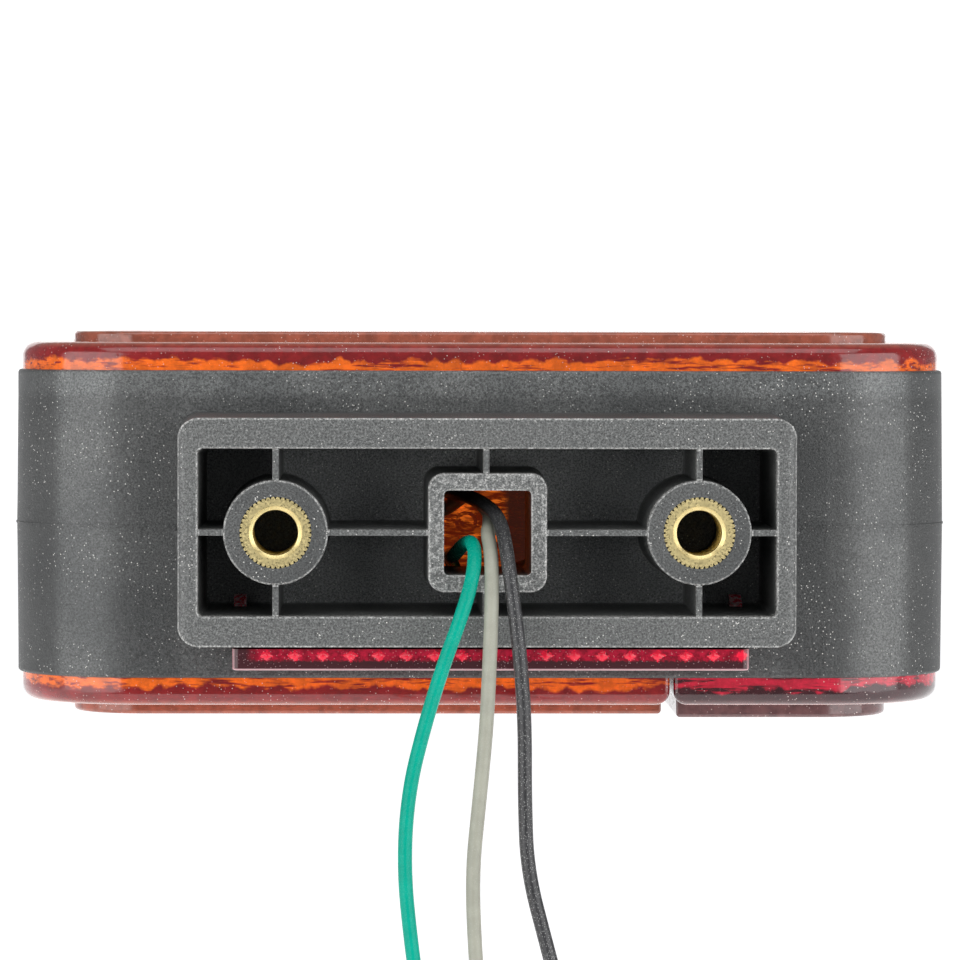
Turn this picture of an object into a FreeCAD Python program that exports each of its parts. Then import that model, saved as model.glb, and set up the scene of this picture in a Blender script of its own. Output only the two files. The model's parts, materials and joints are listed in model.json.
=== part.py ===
import FreeCAD, Part
import math
import os
from FreeCAD import Vector

# Double-faced pedestal lamp. Millimetres, +Z towards the all-amber face, +X along the length,
# +Y from the mounting face into the lamp. Origin: midway between the two threaded inserts,
# on the plane of the mounting face.

# Pedestal
PED_HEIGHT = 24.0
PED_LENGTH = 92.9
PED_WIDTH = 34.3
PED_CORNER = 3.2
PED_END_ROUND = 1.5
PED_DRAFT = 0.42
POCKET_LENGTH = 86.8
POCKET_WIDTH = 25.15
POCKET_CORNER = 0.8
POCKET_DRAFT = 0.8
RIB_EDGE = 0.9
RIB_ROOT = 1.9
RIB_RECESS = 0.3
MID_RIB_X = -0.2
NUB_SIZE = 0.45
EDGE_ROUND = 0.35

# Bosses, inserts and wire tube
INSERT_SPACING = 63.5
BOSS_R = 7.85
BOSS_DRAFT = 0.4
INSERT_R = 5.38
INSERT_LENGTH = 12.7
INSERT_BORE_R = 3.33
INSERT_MOUTH_R = 4.25
INSERT_MOUTH_DEPTH = 0.45
KNURL_TEETH = 40
KNURL_DEPTH = 0.4
BOSS_HOLE_R = 3.73
BOSS_HOLE_DEPTH = 21.0
TUBE_OUTER = 17.8
TUBE_CORNER = 2.4
TUBE_BORE_X = 13.1
TUBE_BORE_Z = 12.7
TUBE_BORE_CORNER = 0.7
TUBE_INNER_END = 28.6

# Body
BODY_LENGTH = 146.0
BODY_DEPTH = 90.0
BODY_TOP = 24.0
BODY_BOTTOM = -23.45
BODY_CORNER = 20.0
BODY_DRAFT = 0.2
WALL = 3.6
RIM_ROUND = 0.5
PARTING_RIDGE = 0.14
SPLIT_X = 29.2
SPLIT_GAP = 0.6
DIVIDER = 3.0
DIVIDER_FLANGE = 6.2
FLANGE_DEPTH = 4.0
DIVIDER_TOP = 19.0
WIRE_NOTCHES = ((46.0, 57.0, -13.0, -5.4), (44.2, 52.0, -5.5, 1.0))

# Lenses
LENS_INSET = 0.9
TIER_1 = 4.3
TIER_2 = {"front": 1.65, "amber": 1.9, "red": 2.45}
TIER_2_INSET = 8.1
LENS_ROUND = 2.2
SPLIT_ROUND = 0.8
TIER_2_ROUND = 0.6
TIER_2_SPLIT_INSET = 0.9
LENS_WALL = 2.4
LENS_FACE = 2.0
GATE_MARK = (-3.4, 3.8, 0.3, 1.7)
PRISM_PITCH = 4.2
PRISM_DEPTH = 1.1
PRISM_HEIGHT = 1.6
PRISM_ROOT = 0.2

# Amber liner and red chamber shield
LINER_X = (-48.0, 14.0)
LINER_GAP = 6.0
LINER_THICK = 2.2
LINER_HALF = 20.0
FLUTE_PITCH = 2.5
FLUTE_DEPTH = 1.0
FLUTE_LEAN = 0.3
RING_MARK = (-0.9, -2.5)
RING_OUTER = 1.9
RING_INNER = 1.3
RING_PROUD = 0.2
RING_DEEP = 1.0
SHIELD_Z = 16.0
SHIELD_SHEET = 1.4
SHIELD_ROOM = 1.0
SHIELD_HOLE_ROOM = 0.3

# Gaskets, screws and screw columns
GROOVE_INSET = 0.6
GROOVE_WIDTH = 1.2
GROOVE_DEPTH = 1.0
END_COLUMN_X = 55.5
SPLIT_COLUMN_X = 20.0
COLUMN_EDGE = 16.5
COLUMN_R = 4.0
WELL_R = 4.6
WELL_FLOOR = 2.5
HEAD_R = 3.4
HEAD_HEIGHT = 2.2
HEAD_ROOM = 0.5
SHANK_ROOM = 0.25
CROSS_HALF = 2.0
CROSS_THIN = 0.4
CROSS_DEEP = 1.1
SHANK_R = 1.75
SHANK_LENGTH = 14.0
WEB = 2.0
WEB_SETBACK = 2.0
SPLIT_COLUMN_EXTRA = 4.0

# Reflector
REFLECTOR_LENGTH = 77.7
REFLECTOR_X = 0.6
REFLECTOR_Y = (2.0, 22.0)
REFLECTOR_FACE = 2.2
REFLECTOR_BACK = 1.0
REFLECTOR_CORNER = 1.0
PRISM_RECESS = 1.2
HOOK_X = 38.9
HOOK_Y = (18.0, 20.6)
HOOK_WIDTH = 1.9
HOOK_BARB = 1.4
HOOK_ROOM = 0.1
SLOT_ROOM = 0.25
SLOT_EXTRA = 0.6
BARB_START = 0.7
REFLECTOR_ROUND = 0.4
FIELD_END = 2.0
FIELD_SIDE = 1.2

# Lamp sets: bracket, socket and bulb. Sizes are radii and lengths along the bulb.
AMBER_LAMP = {
    "name": "amber", "post": 5.4, "half_length": 17.0, "half_width": 9.0, "post_x": 13.5,
    "shell_r": 8.4, "shell_bore": 7.8, "shell_length": 14.0, "base_r": 7.6, "base_length": 11.5,
    "base_start": 4.0, "neck": 8.0, "glass_r": 13.25,
}
RED_LAMP = {
    "name": "red", "post": 3.5, "half_length": 14.5, "half_width": 7.0, "post_x": 11.0,
    "shell_r": 5.3, "shell_bore": 4.8, "shell_length": 9.5, "base_r": 4.6, "base_length": 7.5,
    "base_start": 3.0, "neck": 3.0, "glass_r": 7.15,
}
AMBER_LAMP_X = -34.0
SHEET = 1.0
FLANGE = 2.0
POST_R = 3.2
BRACKET_SCREW_R = 1.4
BRACKET_HEAD_R = 2.7
BRACKET_HEAD_HEIGHT = 1.6
BRACKET_SLOT = 0.6
GLASS_WALL = 0.8
PIN_R = 1.0
INSULATOR = 1.4
CONTACT_WIDTH = 3.0
CONTACT_SHEET = 0.4
CONTACT_BACK = 3.2
CONTACT_REACH = 2.6

# Leads: routes are lists of points, each run joined to the next by a tangent arc.
LEAD_R = 1.08
CORE_R = 0.6
TIP_LENGTH = 8.0
ARC_SHARE = 0.45
LEAD_BLACK = [
    (-3.7, 24.0, 4.9), (-2.5, 18.8, 4.8), (-0.9, 13.0, 4.3), (0.6, 7.2, 3.4), (1.8, 1.6, 2.0),
    (2.5, -3.2, -1.1), (3.1, -6.0, -5.6), (3.9, -7.0, -11.6), (4.8, -7.2, -19.4), (5.4, -7.2, -28.4),
    (5.4, -7.2, -39.2), (5.8, -7.2, -50.0), (8.8, -7.3, -61.4), (12.4, -7.4, -75.0), (13.6, -7.2, -91.0),
    (11.8, -6.9, -110.0), (9.6, -7.1, -131.0), (9.0, -7.4, -152.0), (10.2, -7.6, -168.0),
]
LEAD_GREY = [
    (-1.5, 24.0, 4.2), (-0.4, 18.8, 3.6), (0.6, 13.2, 2.45), (0.5, 7.6, 1.2), (0.0, 2.0, -0.1),
    (0.4, -2.8, -2.5), (0.5, -5.6, -6.6), (0.4, -6.8, -12.4), (0.1, -7.1, -19.8), (-0.3, -7.1, -28.6),
    (-1.3, -7.1, -39.2), (-2.4, -7.2, -50.0), (-2.0, -7.4, -61.4), (-0.9, -7.5, -75.0),
    (-1.0, -7.2, -91.0), (-2.4, -7.0, -110.0), (-2.9, -7.2, -131.0), (-1.8, -7.5, -152.0),
    (-1.0, -7.7, -166.0),
]
LEAD_GREEN = [
    (-5.0, 24.0, -4.6), (-4.8, 18.8, -4.4), (-4.3, 13.4, -3.4), (-3.4, 8.0, -2.0), (-2.4, 2.6, -1.3),
    (-1.9, -2.4, -2.6), (-2.3, -5.4, -6.4), (-4.0, -6.7, -12.0), (-6.6, -7.0, -19.0), (-9.3, -7.0, -27.6),
    (-11.9, -7.0, -38.0), (-12.6, -7.1, -49.4), (-11.4, -7.3, -61.4), (-9.4, -7.4, -75.0),
    (-10.0, -7.1, -91.0), (-12.6, -6.9, -110.0), (-13.4, -7.2, -131.0), (-11.9, -7.5, -152.0),
    (-11.2, -7.7, -167.0),
]
INNER_BLACK = [
    (-3.7, 24.0, 4.9), (-5.1, 30.1, 5.0), (-10.6, 36.0, 7.8), (-19.2, 35.2, 12.6), (-27.2, 30.6, 11.8),
    (-32.8, 30.2, 6.6), (-34.0, 30.2, 1.2),
]
INNER_GREY = [
    (-1.5, 24.0, 4.2), (-2.6, 29.2, 4.8), (-5.8, 34.2, 2.2), (-10.6, 35.5, 0.2), (-14.3, 35.5, 0.0),
]
INNER_GREEN = [
    (-5.0, 24.0, -4.6), (-5.2, 29.2, -4.8), (-3.4, 35.4, -9.2), (4.0, 40.4, -12.4), (14.0, 44.6, -12.8),
    (23.6, 48.0, -11.4), (30.2, 51.6, -9.6), (32.6, 57.2, -7.6), (32.6, 63.0, -4.4), (32.5, 67.6, -1.2),
]
GROUND_JUMPER = [
    (-20.5, 35.85, -6.2), (-20.5, 37.2, -9.0), (-17.4, 40.8, -12.6), (-9.0, 46.4, -13.2), (3.0, 50.0, -8.8),
    (14.0, 50.2, -5.2), (24.0, 48.0, -3.0), (31.0, 45.8, -1.4), (35.6, 45.9, -0.3), (36.7, 49.0, 0.0),
    (36.7, 51.8, 0.0),
]
RING_R = 3.2
RING_HOLE = 1.6
RING_SHEET = 0.35
BARREL_R = 1.5
BARREL_LENGTH = 3.4

Y_FRONT = PED_HEIGHT
Y_BACK = PED_HEIGHT + BODY_DEPTH
Y_INNER = Y_FRONT + WALL
HALF_BODY = BODY_LENGTH / 2
LENS_HALF = HALF_BODY - LENS_INSET
DIVIDER_RIGHT = SPLIT_X + DIVIDER / 2
RED_LAMP_Y = (Y_FRONT + Y_BACK) / 2
X_AXIS = Vector(1, 0, 0)
Y_AXIS = Vector(0, 1, 0)
Z_AXIS = Vector(0, 0, 1)
EPS = 0.01


def box(x_low, x_high, y_low, y_high, z_low, z_high):
    return Part.makeBox(x_high - x_low, y_high - y_low, z_high - z_low, Vector(x_low, y_low, z_low))


def rod(radius, start, direction, length):
    return Part.makeCylinder(radius, length, Vector(*start), direction)


def outline(x_low, x_high, y_low, y_high, r_left, r_right, z):
    """Closed wire at height z with one corner radius at each end."""
    near, far = y_low, y_high
    corners = [
        (x_low, near, r_left, 180), (x_high, near, r_right, 270),
        (x_high, far, r_right, 0), (x_low, far, r_left, 90),
    ]
    edges = []
    starts = []
    ends = []
    for x, y, radius, angle in corners:
        centre = Vector(x + (radius if x == x_low else -radius), y + (radius if y == near else -radius), z)
        first = math.radians(angle)
        last = math.radians(angle + 90)
        middle = (first + last) / 2
        turns = [Vector(math.cos(a), math.sin(a), 0) for a in (first, middle, last)]
        points = [centre + turn * radius for turn in turns]
        starts.append(points[0])
        ends.append(points[2])
        edges.append(Part.Arc(*points).toShape())
    for k in range(4):
        edges.insert(2 * k + 1, Part.LineSegment(ends[k], starts[(k + 1) % 4]).toShape())
    return Part.Wire(edges)


def slab(x_low, x_high, y_low, y_high, r_left, r_right, z_low, z_high):
    face = Part.Face(outline(x_low, x_high, y_low, y_high, r_left, r_right, z_low))
    return face.extrude(Vector(0, 0, z_high - z_low))


def to_pedestal(shape):
    """Turn a shape built along +Z so that it runs along +Y, its own y becoming -Z."""
    turned = shape.copy()
    turned.rotate(Vector(0, 0, 0), X_AXIS, -90)
    return turned


def tapered(length, width, corner, y_start, y_end, growth):
    """Rounded bar along Y whose section grows by growth on each side."""
    half_l = length / 2
    half_w = width / 2
    first = outline(-half_l, half_l, -half_w, half_w, corner, corner, y_start)
    half_l += growth
    half_w += growth
    last = outline(-half_l, half_l, -half_w, half_w, corner, corner, y_end)
    return to_pedestal(Part.makeLoft([first, last], True, True))


def body_half(z_edge):
    """Half of the outer body, from the parting plane to one rim, narrowing with the draft."""
    wide = outline(-HALF_BODY, HALF_BODY, Y_FRONT, Y_BACK, BODY_CORNER, BODY_CORNER, 0)
    narrow = outline(
        -HALF_BODY + BODY_DRAFT, HALF_BODY - BODY_DRAFT, Y_FRONT + BODY_DRAFT, Y_BACK - BODY_DRAFT,
        BODY_CORNER - BODY_DRAFT, BODY_CORNER - BODY_DRAFT, z_edge)
    half = Part.makeLoft([wide, narrow], True, True)
    return half.makeFillet(RIM_ROUND, edges_at(half, z_edge))


def edges_at(solid, z):
    """Edges that lie in the plane z."""
    return [e for e in solid.Edges if abs(e.BoundBox.ZMin - z) + abs(e.BoundBox.ZMax - z) < EPS]


def columns(radius, z_low, z_high, x_places):
    solids = []
    for x in x_places:
        for y in (Y_FRONT + COLUMN_EDGE, Y_BACK - COLUMN_EDGE):
            solids.append(rod(radius, (x, y, z_low), Z_AXIS, z_high - z_low))
    return solids


def body_shell():
    shell = body_half(BODY_TOP).fuse(body_half(BODY_BOTTOM))
    chamber = slab(
        -HALF_BODY + WALL, HALF_BODY - WALL, Y_INNER, Y_BACK - WALL,
        BODY_CORNER - WALL, BODY_CORNER - WALL, BODY_BOTTOM - 1, BODY_TOP + 1)
    half = HALF_BODY + PARTING_RIDGE
    corner = BODY_CORNER + PARTING_RIDGE
    ridge = slab(
        -half, half, Y_FRONT - PARTING_RIDGE, Y_BACK + PARTING_RIDGE, corner, corner,
        -PARTING_RIDGE, PARTING_RIDGE)
    return shell.fuse(ridge).cut(chamber)


def inner_walls():
    """Divider between the chambers, screw columns, their webs and the bracket posts."""
    y_low = Y_INNER - 1
    y_high = Y_BACK - WALL + 1
    flange_half = DIVIDER_FLANGE / 2
    flange_top = BODY_BOTTOM + FLANGE_DEPTH
    split_top = BODY_BOTTOM + SHANK_LENGTH + SPLIT_COLUMN_EXTRA
    web_low = BODY_BOTTOM + WEB_SETBACK
    web_high = BODY_TOP - WEB_SETBACK
    wall_x = HALF_BODY - WALL / 2
    walls = [
        box(SPLIT_X - DIVIDER / 2, DIVIDER_RIGHT, y_low, y_high, BODY_BOTTOM, DIVIDER_TOP),
        box(SPLIT_X - flange_half, SPLIT_X + flange_half, y_low, y_high, BODY_BOTTOM, flange_top),
    ]
    walls += columns(COLUMN_R, BODY_BOTTOM, BODY_TOP, (-END_COLUMN_X, END_COLUMN_X))
    walls += columns(COLUMN_R, BODY_BOTTOM, split_top, (SPLIT_COLUMN_X,))
    for y in (Y_FRONT + COLUMN_EDGE, Y_BACK - COLUMN_EDGE):
        low, high = y - WEB / 2, y + WEB / 2
        walls.append(box(-wall_x, -END_COLUMN_X, low, high, web_low, web_high))
        walls.append(box(END_COLUMN_X, wall_x, low, high, web_low, web_high))
        walls.append(box(SPLIT_COLUMN_X, SPLIT_X, low, high, web_low, split_top))
    for side in (-1, 1):
        walls.append(place_lamp(post(AMBER_LAMP, side), AMBER_LAMP))
        walls.append(place_lamp(post(RED_LAMP, side), RED_LAMP))
    return walls


def rib(along_x, fixed, low, high):
    """Tapered rib in the pedestal pocket, along X at height fixed or along Z at place fixed."""
    y_edge = RIB_RECESS
    y_root = PED_HEIGHT + EPS
    half_edge = RIB_EDGE / 2
    half_root = RIB_ROOT / 2
    if along_x:
        points = [(low, y, fixed + w) for y, w in (
            (y_edge, -half_edge), (y_edge, half_edge), (y_root, half_root), (y_root, -half_root))]
        run = Vector(high - low, 0, 0)
    else:
        points = [(fixed + w, y, low) for y, w in (
            (y_edge, -half_edge), (y_edge, half_edge), (y_root, half_root), (y_root, -half_root))]
        run = Vector(0, 0, high - low)
    vectors = [Vector(*p) for p in points]
    return Part.Face(Part.makePolygon(vectors + vectors[:1])).extrude(run)


def pedestal_walls():
    """Tapered rim around the pocket, its ends rounded at the mounting face."""
    outer = tapered(PED_LENGTH, PED_WIDTH, PED_CORNER, 0, PED_HEIGHT, PED_DRAFT)
    sleeve = box(-PED_LENGTH / 2, PED_LENGTH / 2, 0, 2 * PED_HEIGHT, -PED_WIDTH, PED_WIDTH)
    front = [e for e in sleeve.Edges if e.BoundBox.YMax < EPS and e.BoundBox.XLength < EPS]
    sleeve = sleeve.makeFillet(PED_END_ROUND, front)
    front_room = box(-PED_LENGTH, PED_LENGTH, 0, PED_END_ROUND, -PED_WIDTH, PED_WIDTH)
    rear_room = box(-PED_LENGTH, PED_LENGTH, PED_END_ROUND, PED_HEIGHT + 1, -PED_WIDTH, PED_WIDTH)
    outer = outer.common(front_room).common(sleeve).fuse(outer.common(rear_room))
    pocket = tapered(POCKET_LENGTH, POCKET_WIDTH, POCKET_CORNER, 0, PED_HEIGHT, -POCKET_DRAFT)
    rim = outer.cut(pocket)
    half_l = POCKET_LENGTH / 2 + EPS
    half_w = POCKET_WIDTH / 2 + EPS
    low = [e for e in front_edges(rim) if -half_w < e.BoundBox.ZMin and e.BoundBox.ZMax < half_w]
    inner_edges = [e for e in low if abs(e.CenterOfMass.x) < half_l]
    return rim.makeFillet(EDGE_ROUND, inner_edges)


def front_edges(solid):
    """Edges that lie in the plane of the mounting face."""
    return [e for e in solid.Edges if abs(e.BoundBox.YMin) < EPS and abs(e.BoundBox.YMax) < EPS]


def pedestal_core():
    """Bosses, wire tube, ribs and the parting nubs on the pedestal's ends."""
    half = INSERT_SPACING / 2
    wide = POCKET_LENGTH / 2 + 0.5
    tall = POCKET_WIDTH / 2 + 0.5
    pieces = [rib(True, 0, -wide, wide), rib(False, MID_RIB_X, -tall, tall)]
    for x in (-half, half):
        pieces.append(rib(False, x, -tall, tall))
        boss = Part.makeCone(BOSS_R, BOSS_R + BOSS_DRAFT, PED_HEIGHT + EPS, Vector(x, 0, 0), Y_AXIS)
        pieces.append(boss.makeFillet(EDGE_ROUND, front_edges(boss)))
    tube = tapered(TUBE_OUTER, TUBE_OUTER, TUBE_CORNER, 0, PED_HEIGHT + EPS, BOSS_DRAFT)
    pieces.append(tube.makeFillet(EDGE_ROUND, front_edges(tube)))
    tube_end = slab(
        -TUBE_OUTER / 2, TUBE_OUTER / 2, -TUBE_OUTER / 2, TUBE_OUTER / 2,
        TUBE_CORNER, TUBE_CORNER, PED_HEIGHT, TUBE_INNER_END)
    pieces.append(to_pedestal(tube_end))
    for side in (-1, 1):
        edge = side * PED_LENGTH / 2
        low, high = sorted((edge - side, edge + side * (NUB_SIZE / 2 + PED_DRAFT / 2)))
        pieces.append(box(low, high, 1.2, PED_HEIGHT, -NUB_SIZE / 2, NUB_SIZE / 2))
    return pieces


def pedestal_holes():
    half = INSERT_SPACING / 2
    holes = []
    for x in (-half, half):
        holes.append(rod(INSERT_R, (x, -1, 0), Y_AXIS, INSERT_LENGTH + 1))
        holes.append(rod(BOSS_HOLE_R, (x, 0, 0), Y_AXIS, BOSS_HOLE_DEPTH))
    bore = slab(
        -TUBE_BORE_X / 2, TUBE_BORE_X / 2, -TUBE_BORE_Z / 2, TUBE_BORE_Z / 2,
        TUBE_BORE_CORNER, TUBE_BORE_CORNER, -1, TUBE_INNER_END + 1)
    holes.append(to_pedestal(bore))
    for side in (-1, 1):
        x = REFLECTOR_X + side * HOOK_X - side * HOOK_WIDTH / 2
        half_slot = HOOK_WIDTH / 2 + SLOT_ROOM
        holes.append(box(
            x - half_slot, x + half_slot, HOOK_Y[0] - SLOT_ROOM, HOOK_Y[1] + SLOT_ROOM + SLOT_EXTRA,
            -PED_WIDTH / 2 - 1, -POCKET_WIDTH / 2 + 2))
    return holes


def lens_box(kind):
    """Footprint of a lens: x from, x to, corner radius at each end."""
    round_end = BODY_CORNER - LENS_INSET
    if kind == "front":
        return -LENS_HALF, LENS_HALF, round_end, round_end
    if kind == "amber":
        return -LENS_HALF, SPLIT_X - SPLIT_GAP / 2, round_end, SPLIT_ROUND
    return SPLIT_X + SPLIT_GAP / 2, LENS_HALF, SPLIT_ROUND, round_end


def inset_slab(kind, inset, split_inset, z_low, z_high):
    """Prism inside a lens footprint, inset all round and by split_inset at the split."""
    x_low, x_high, r_left, r_right = lens_box(kind)
    left = split_inset if kind == "red" else inset
    right = split_inset if kind == "amber" else inset
    y_low = Y_FRONT + LENS_INSET + inset
    y_high = Y_BACK - LENS_INSET - inset
    return slab(
        x_low + left, x_high - right, y_low, y_high,
        max(r_left - inset, 0.3), max(r_right - inset, 0.3), z_low, z_high)


def top_edges(solid, z, x_limit):
    """Edges in the plane z, split into those beside the lens split and the others."""
    flat = edges_at(solid, z)
    beside = [e for e in flat if x_limit is not None and abs(e.CenterOfMass.x - x_limit) < 1.5]
    others = [e for e in flat if not any(e.isSame(b) for b in beside)]
    return beside, others


def lens_prisms(kind):
    """Row of upright V prisms on the inner side of the two long walls."""
    x_low, x_high, r_left, r_right = lens_box(kind)
    first = x_low + max(r_left, LENS_WALL) + 1
    last = x_high - max(r_right, LENS_WALL) - 1
    count = int((last - first) / PRISM_PITCH)
    prisms = []
    for side, y in ((1, Y_FRONT + LENS_INSET + LENS_WALL), (-1, Y_BACK - LENS_INSET - LENS_WALL)):
        for k in range(count):
            x = first + k * PRISM_PITCH
            base = Vector(x, y - side * PRISM_ROOT, 0)
            tip = Vector(x + PRISM_PITCH / 2, y + side * PRISM_DEPTH, 0)
            end = Vector(x + PRISM_PITCH, y - side * PRISM_ROOT, 0)
            face = Part.Face(Part.makePolygon([base, tip, end, base]))
            prisms.append(face.extrude(Vector(0, 0, PRISM_HEIGHT)))
    return prisms


def lens_places(kind):
    if kind == "front":
        return (-END_COLUMN_X, END_COLUMN_X)
    if kind == "amber":
        return (-END_COLUMN_X, SPLIT_COLUMN_X)
    return (END_COLUMN_X,)


def lens(kind):
    """Two-tier lens standing on z = 0 with its face up."""
    x_low, x_high, _, _ = lens_box(kind)
    split_edge = {"front": None, "amber": x_high, "red": x_low}[kind]
    total = TIER_1 + TIER_2[kind]
    tier_1 = inset_slab(kind, 0, 0, 0, TIER_1)
    beside, others = top_edges(tier_1, TIER_1, split_edge)
    rounded = tier_1.makeFillet(LENS_ROUND, others)
    if beside:
        rounded = rounded.common(tier_1.makeFillet(SPLIT_ROUND - 0.1, beside))
    tier_2 = inset_slab(kind, TIER_2_INSET, TIER_2_SPLIT_INSET, 0, total)
    tier_2 = tier_2.makeFillet(TIER_2_ROUND, sum(top_edges(tier_2, total, split_edge), []))
    solid = rounded.fuse(tier_2)
    solid = solid.cut(inset_slab(kind, LENS_WALL, LENS_WALL, -1, TIER_1 - LENS_FACE))
    solid = solid.cut(inset_slab(kind, TIER_2_INSET + LENS_FACE, LENS_WALL, -1, total - LENS_FACE))
    solid = solid.fuse(lens_prisms(kind))
    if kind == "front":
        left, right, proud, height = GATE_MARK
        near = Y_FRONT + LENS_INSET
        solid = solid.fuse(box(left, right, near - proud, near + 1, 0.1, height))
    wells = columns(WELL_R, 0, total - 1, lens_places(kind))
    solid = solid.fuse(wells)
    solid = solid.cut(columns(HEAD_R + HEAD_ROOM, WELL_FLOOR, total + 1, lens_places(kind)))
    solid = solid.cut(columns(SHANK_R + SHANK_ROOM, -1, WELL_FLOOR + 1, lens_places(kind)))
    return solid.removeSplitter()


def seat(shape, upper):
    """Put a shape built on z = 0 onto the top rim, or mirrored onto the bottom rim."""
    if upper:
        moved = shape.copy()
        moved.translate(Vector(0, 0, BODY_TOP))
        return moved
    moved = shape.mirror(Vector(0, 0, 0), Z_AXIS)
    moved.translate(Vector(0, 0, BODY_BOTTOM))
    return moved


def gasket(kind):
    """Seal ring below z = 0, as deep as its groove."""
    outer = inset_slab(kind, GROOVE_INSET, GROOVE_INSET, -GROOVE_DEPTH, 0)
    inner = inset_slab(
        kind, GROOVE_INSET + GROOVE_WIDTH, GROOVE_INSET + GROOVE_WIDTH, -GROOVE_DEPTH - 1, 1)
    return outer.cut(inner)


def lens_screw(x, y):
    """Pan-head screw standing in a lens well, its head above z = WELL_FLOOR."""
    head = rod(HEAD_R, (x, y, WELL_FLOOR), Z_AXIS, HEAD_HEIGHT)
    top = [e for e in head.Edges if abs(e.BoundBox.ZMin - WELL_FLOOR - HEAD_HEIGHT) < EPS]
    head = head.makeFillet(HEAD_HEIGHT * 0.4, top)
    shank = rod(SHANK_R, (x, y, WELL_FLOOR - SHANK_LENGTH), Z_AXIS, SHANK_LENGTH)
    z_top = WELL_FLOOR + HEAD_HEIGHT
    z_low = z_top - CROSS_DEEP
    cross = box(x - CROSS_HALF, x + CROSS_HALF, y - CROSS_THIN, y + CROSS_THIN, z_low, z_top + 1)
    cross = cross.fuse(box(x - CROSS_THIN, x + CROSS_THIN, y - CROSS_HALF, y + CROSS_HALF, z_low, z_top + 1))
    return head.fuse(shank).cut(cross)


def lens_screws(kind):
    screws = []
    for x in lens_places(kind):
        for y in (Y_FRONT + COLUMN_EDGE, Y_BACK - COLUMN_EDGE):
            screws.append(lens_screw(x, y))
    return Part.makeCompound(screws)


def housing():
    solid = body_shell().fuse(inner_walls())
    solid = solid.fuse([pedestal_walls()] + pedestal_core())
    solid = solid.cut(pedestal_holes())
    screw_holes = columns(SHANK_R, BODY_TOP - SHANK_LENGTH, BODY_TOP + 1, (-END_COLUMN_X, END_COLUMN_X))
    screw_holes += columns(
        SHANK_R, BODY_BOTTOM - 1, BODY_BOTTOM + SHANK_LENGTH, (-END_COLUMN_X, SPLIT_COLUMN_X, END_COLUMN_X))
    solid = solid.cut(screw_holes)
    grooves = [seat(gasket("front"), True), seat(gasket("amber"), False), seat(gasket("red"), False)]
    solid = solid.cut(grooves)
    for lamp in (AMBER_LAMP, RED_LAMP):
        for side in (-1, 1):
            solid = solid.cut(place_lamp(bracket_screw_hole(lamp, side), lamp))
    for y_low, y_high, z_low, z_high in WIRE_NOTCHES:
        solid = solid.cut(box(SPLIT_X - 4, SPLIT_X + 4, y_low, y_high, z_low, z_high))
    return solid


def insert(x):
    """Knurled brass insert with a chamfered bore, its face flush with the boss."""
    body = rod(INSERT_R, (x, 0, 0), Y_AXIS, INSERT_LENGTH)
    step = 360.0 / KNURL_TEETH
    cutter = Part.makePolygon([
        Vector(x, -1, INSERT_R - KNURL_DEPTH), Vector(x - KNURL_DEPTH, -1, INSERT_R + 0.15),
        Vector(x + KNURL_DEPTH, -1, INSERT_R + 0.15), Vector(x, -1, INSERT_R - KNURL_DEPTH)])
    groove = Part.Face(cutter).extrude(Vector(0, INSERT_LENGTH + 2, 0))
    grooves = []
    for k in range(KNURL_TEETH):
        turned = groove.copy()
        turned.rotate(Vector(x, 0, 0), Y_AXIS, k * step)
        grooves.append(turned)
    body = body.cut(grooves)
    body = body.cut(rod(INSERT_BORE_R, (x, -1, 0), Y_AXIS, INSERT_LENGTH + 2))
    mouth = Part.makeCone(INSERT_MOUTH_R, INSERT_BORE_R, INSERT_MOUTH_DEPTH, Vector(x, 0, 0), Y_AXIS)
    return body.cut(mouth)


def reflector_plate(z_low, z_high):
    x_low = REFLECTOR_X - REFLECTOR_LENGTH / 2
    x_high = REFLECTOR_X + REFLECTOR_LENGTH / 2
    y_low, y_high = REFLECTOR_Y
    return slab(x_low, x_high, y_low, y_high, REFLECTOR_CORNER, REFLECTOR_CORNER, z_low, z_high)


def reflector_z():
    """Heights of the reflector: top of its back plate, joint, outer face."""
    top = -PED_WIDTH / 2 - PED_DRAFT
    return top, top - REFLECTOR_BACK, top - REFLECTOR_BACK - REFLECTOR_FACE


def reflector_face():
    """Clear strip, hollowed behind its prism field."""
    _, joint, outer = reflector_z()
    plate = reflector_plate(outer, joint)
    edge = [e for e in plate.Edges if abs(e.BoundBox.ZMax - outer) < EPS]
    plate = plate.makeFillet(REFLECTOR_ROUND, edge)
    x_low = REFLECTOR_X - REFLECTOR_LENGTH / 2 + FIELD_END
    x_high = REFLECTOR_X + REFLECTOR_LENGTH / 2 - FIELD_END
    y_low, y_high = REFLECTOR_Y[0] + FIELD_SIDE, REFLECTOR_Y[1] - FIELD_SIDE
    floor = joint - PRISM_RECESS
    plate = plate.cut(box(x_low, x_high, y_low, y_high, floor, joint + 1))
    prisms = []
    x = x_low
    while x + PRISM_PITCH <= x_high:
        base = Vector(x, y_low - PRISM_ROOT, floor - PRISM_ROOT / 2)
        tip = Vector(x + PRISM_PITCH / 2, y_low - PRISM_ROOT, joint - PRISM_ROOT / 2)
        end = Vector(x + PRISM_PITCH, y_low - PRISM_ROOT, floor - PRISM_ROOT / 2)
        face = Part.Face(Part.makePolygon([base, tip, end, base]))
        prisms.append(face.extrude(Vector(0, y_high - y_low + 2 * PRISM_ROOT, 0)))
        x += PRISM_PITCH
    return plate.fuse(prisms)


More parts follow.
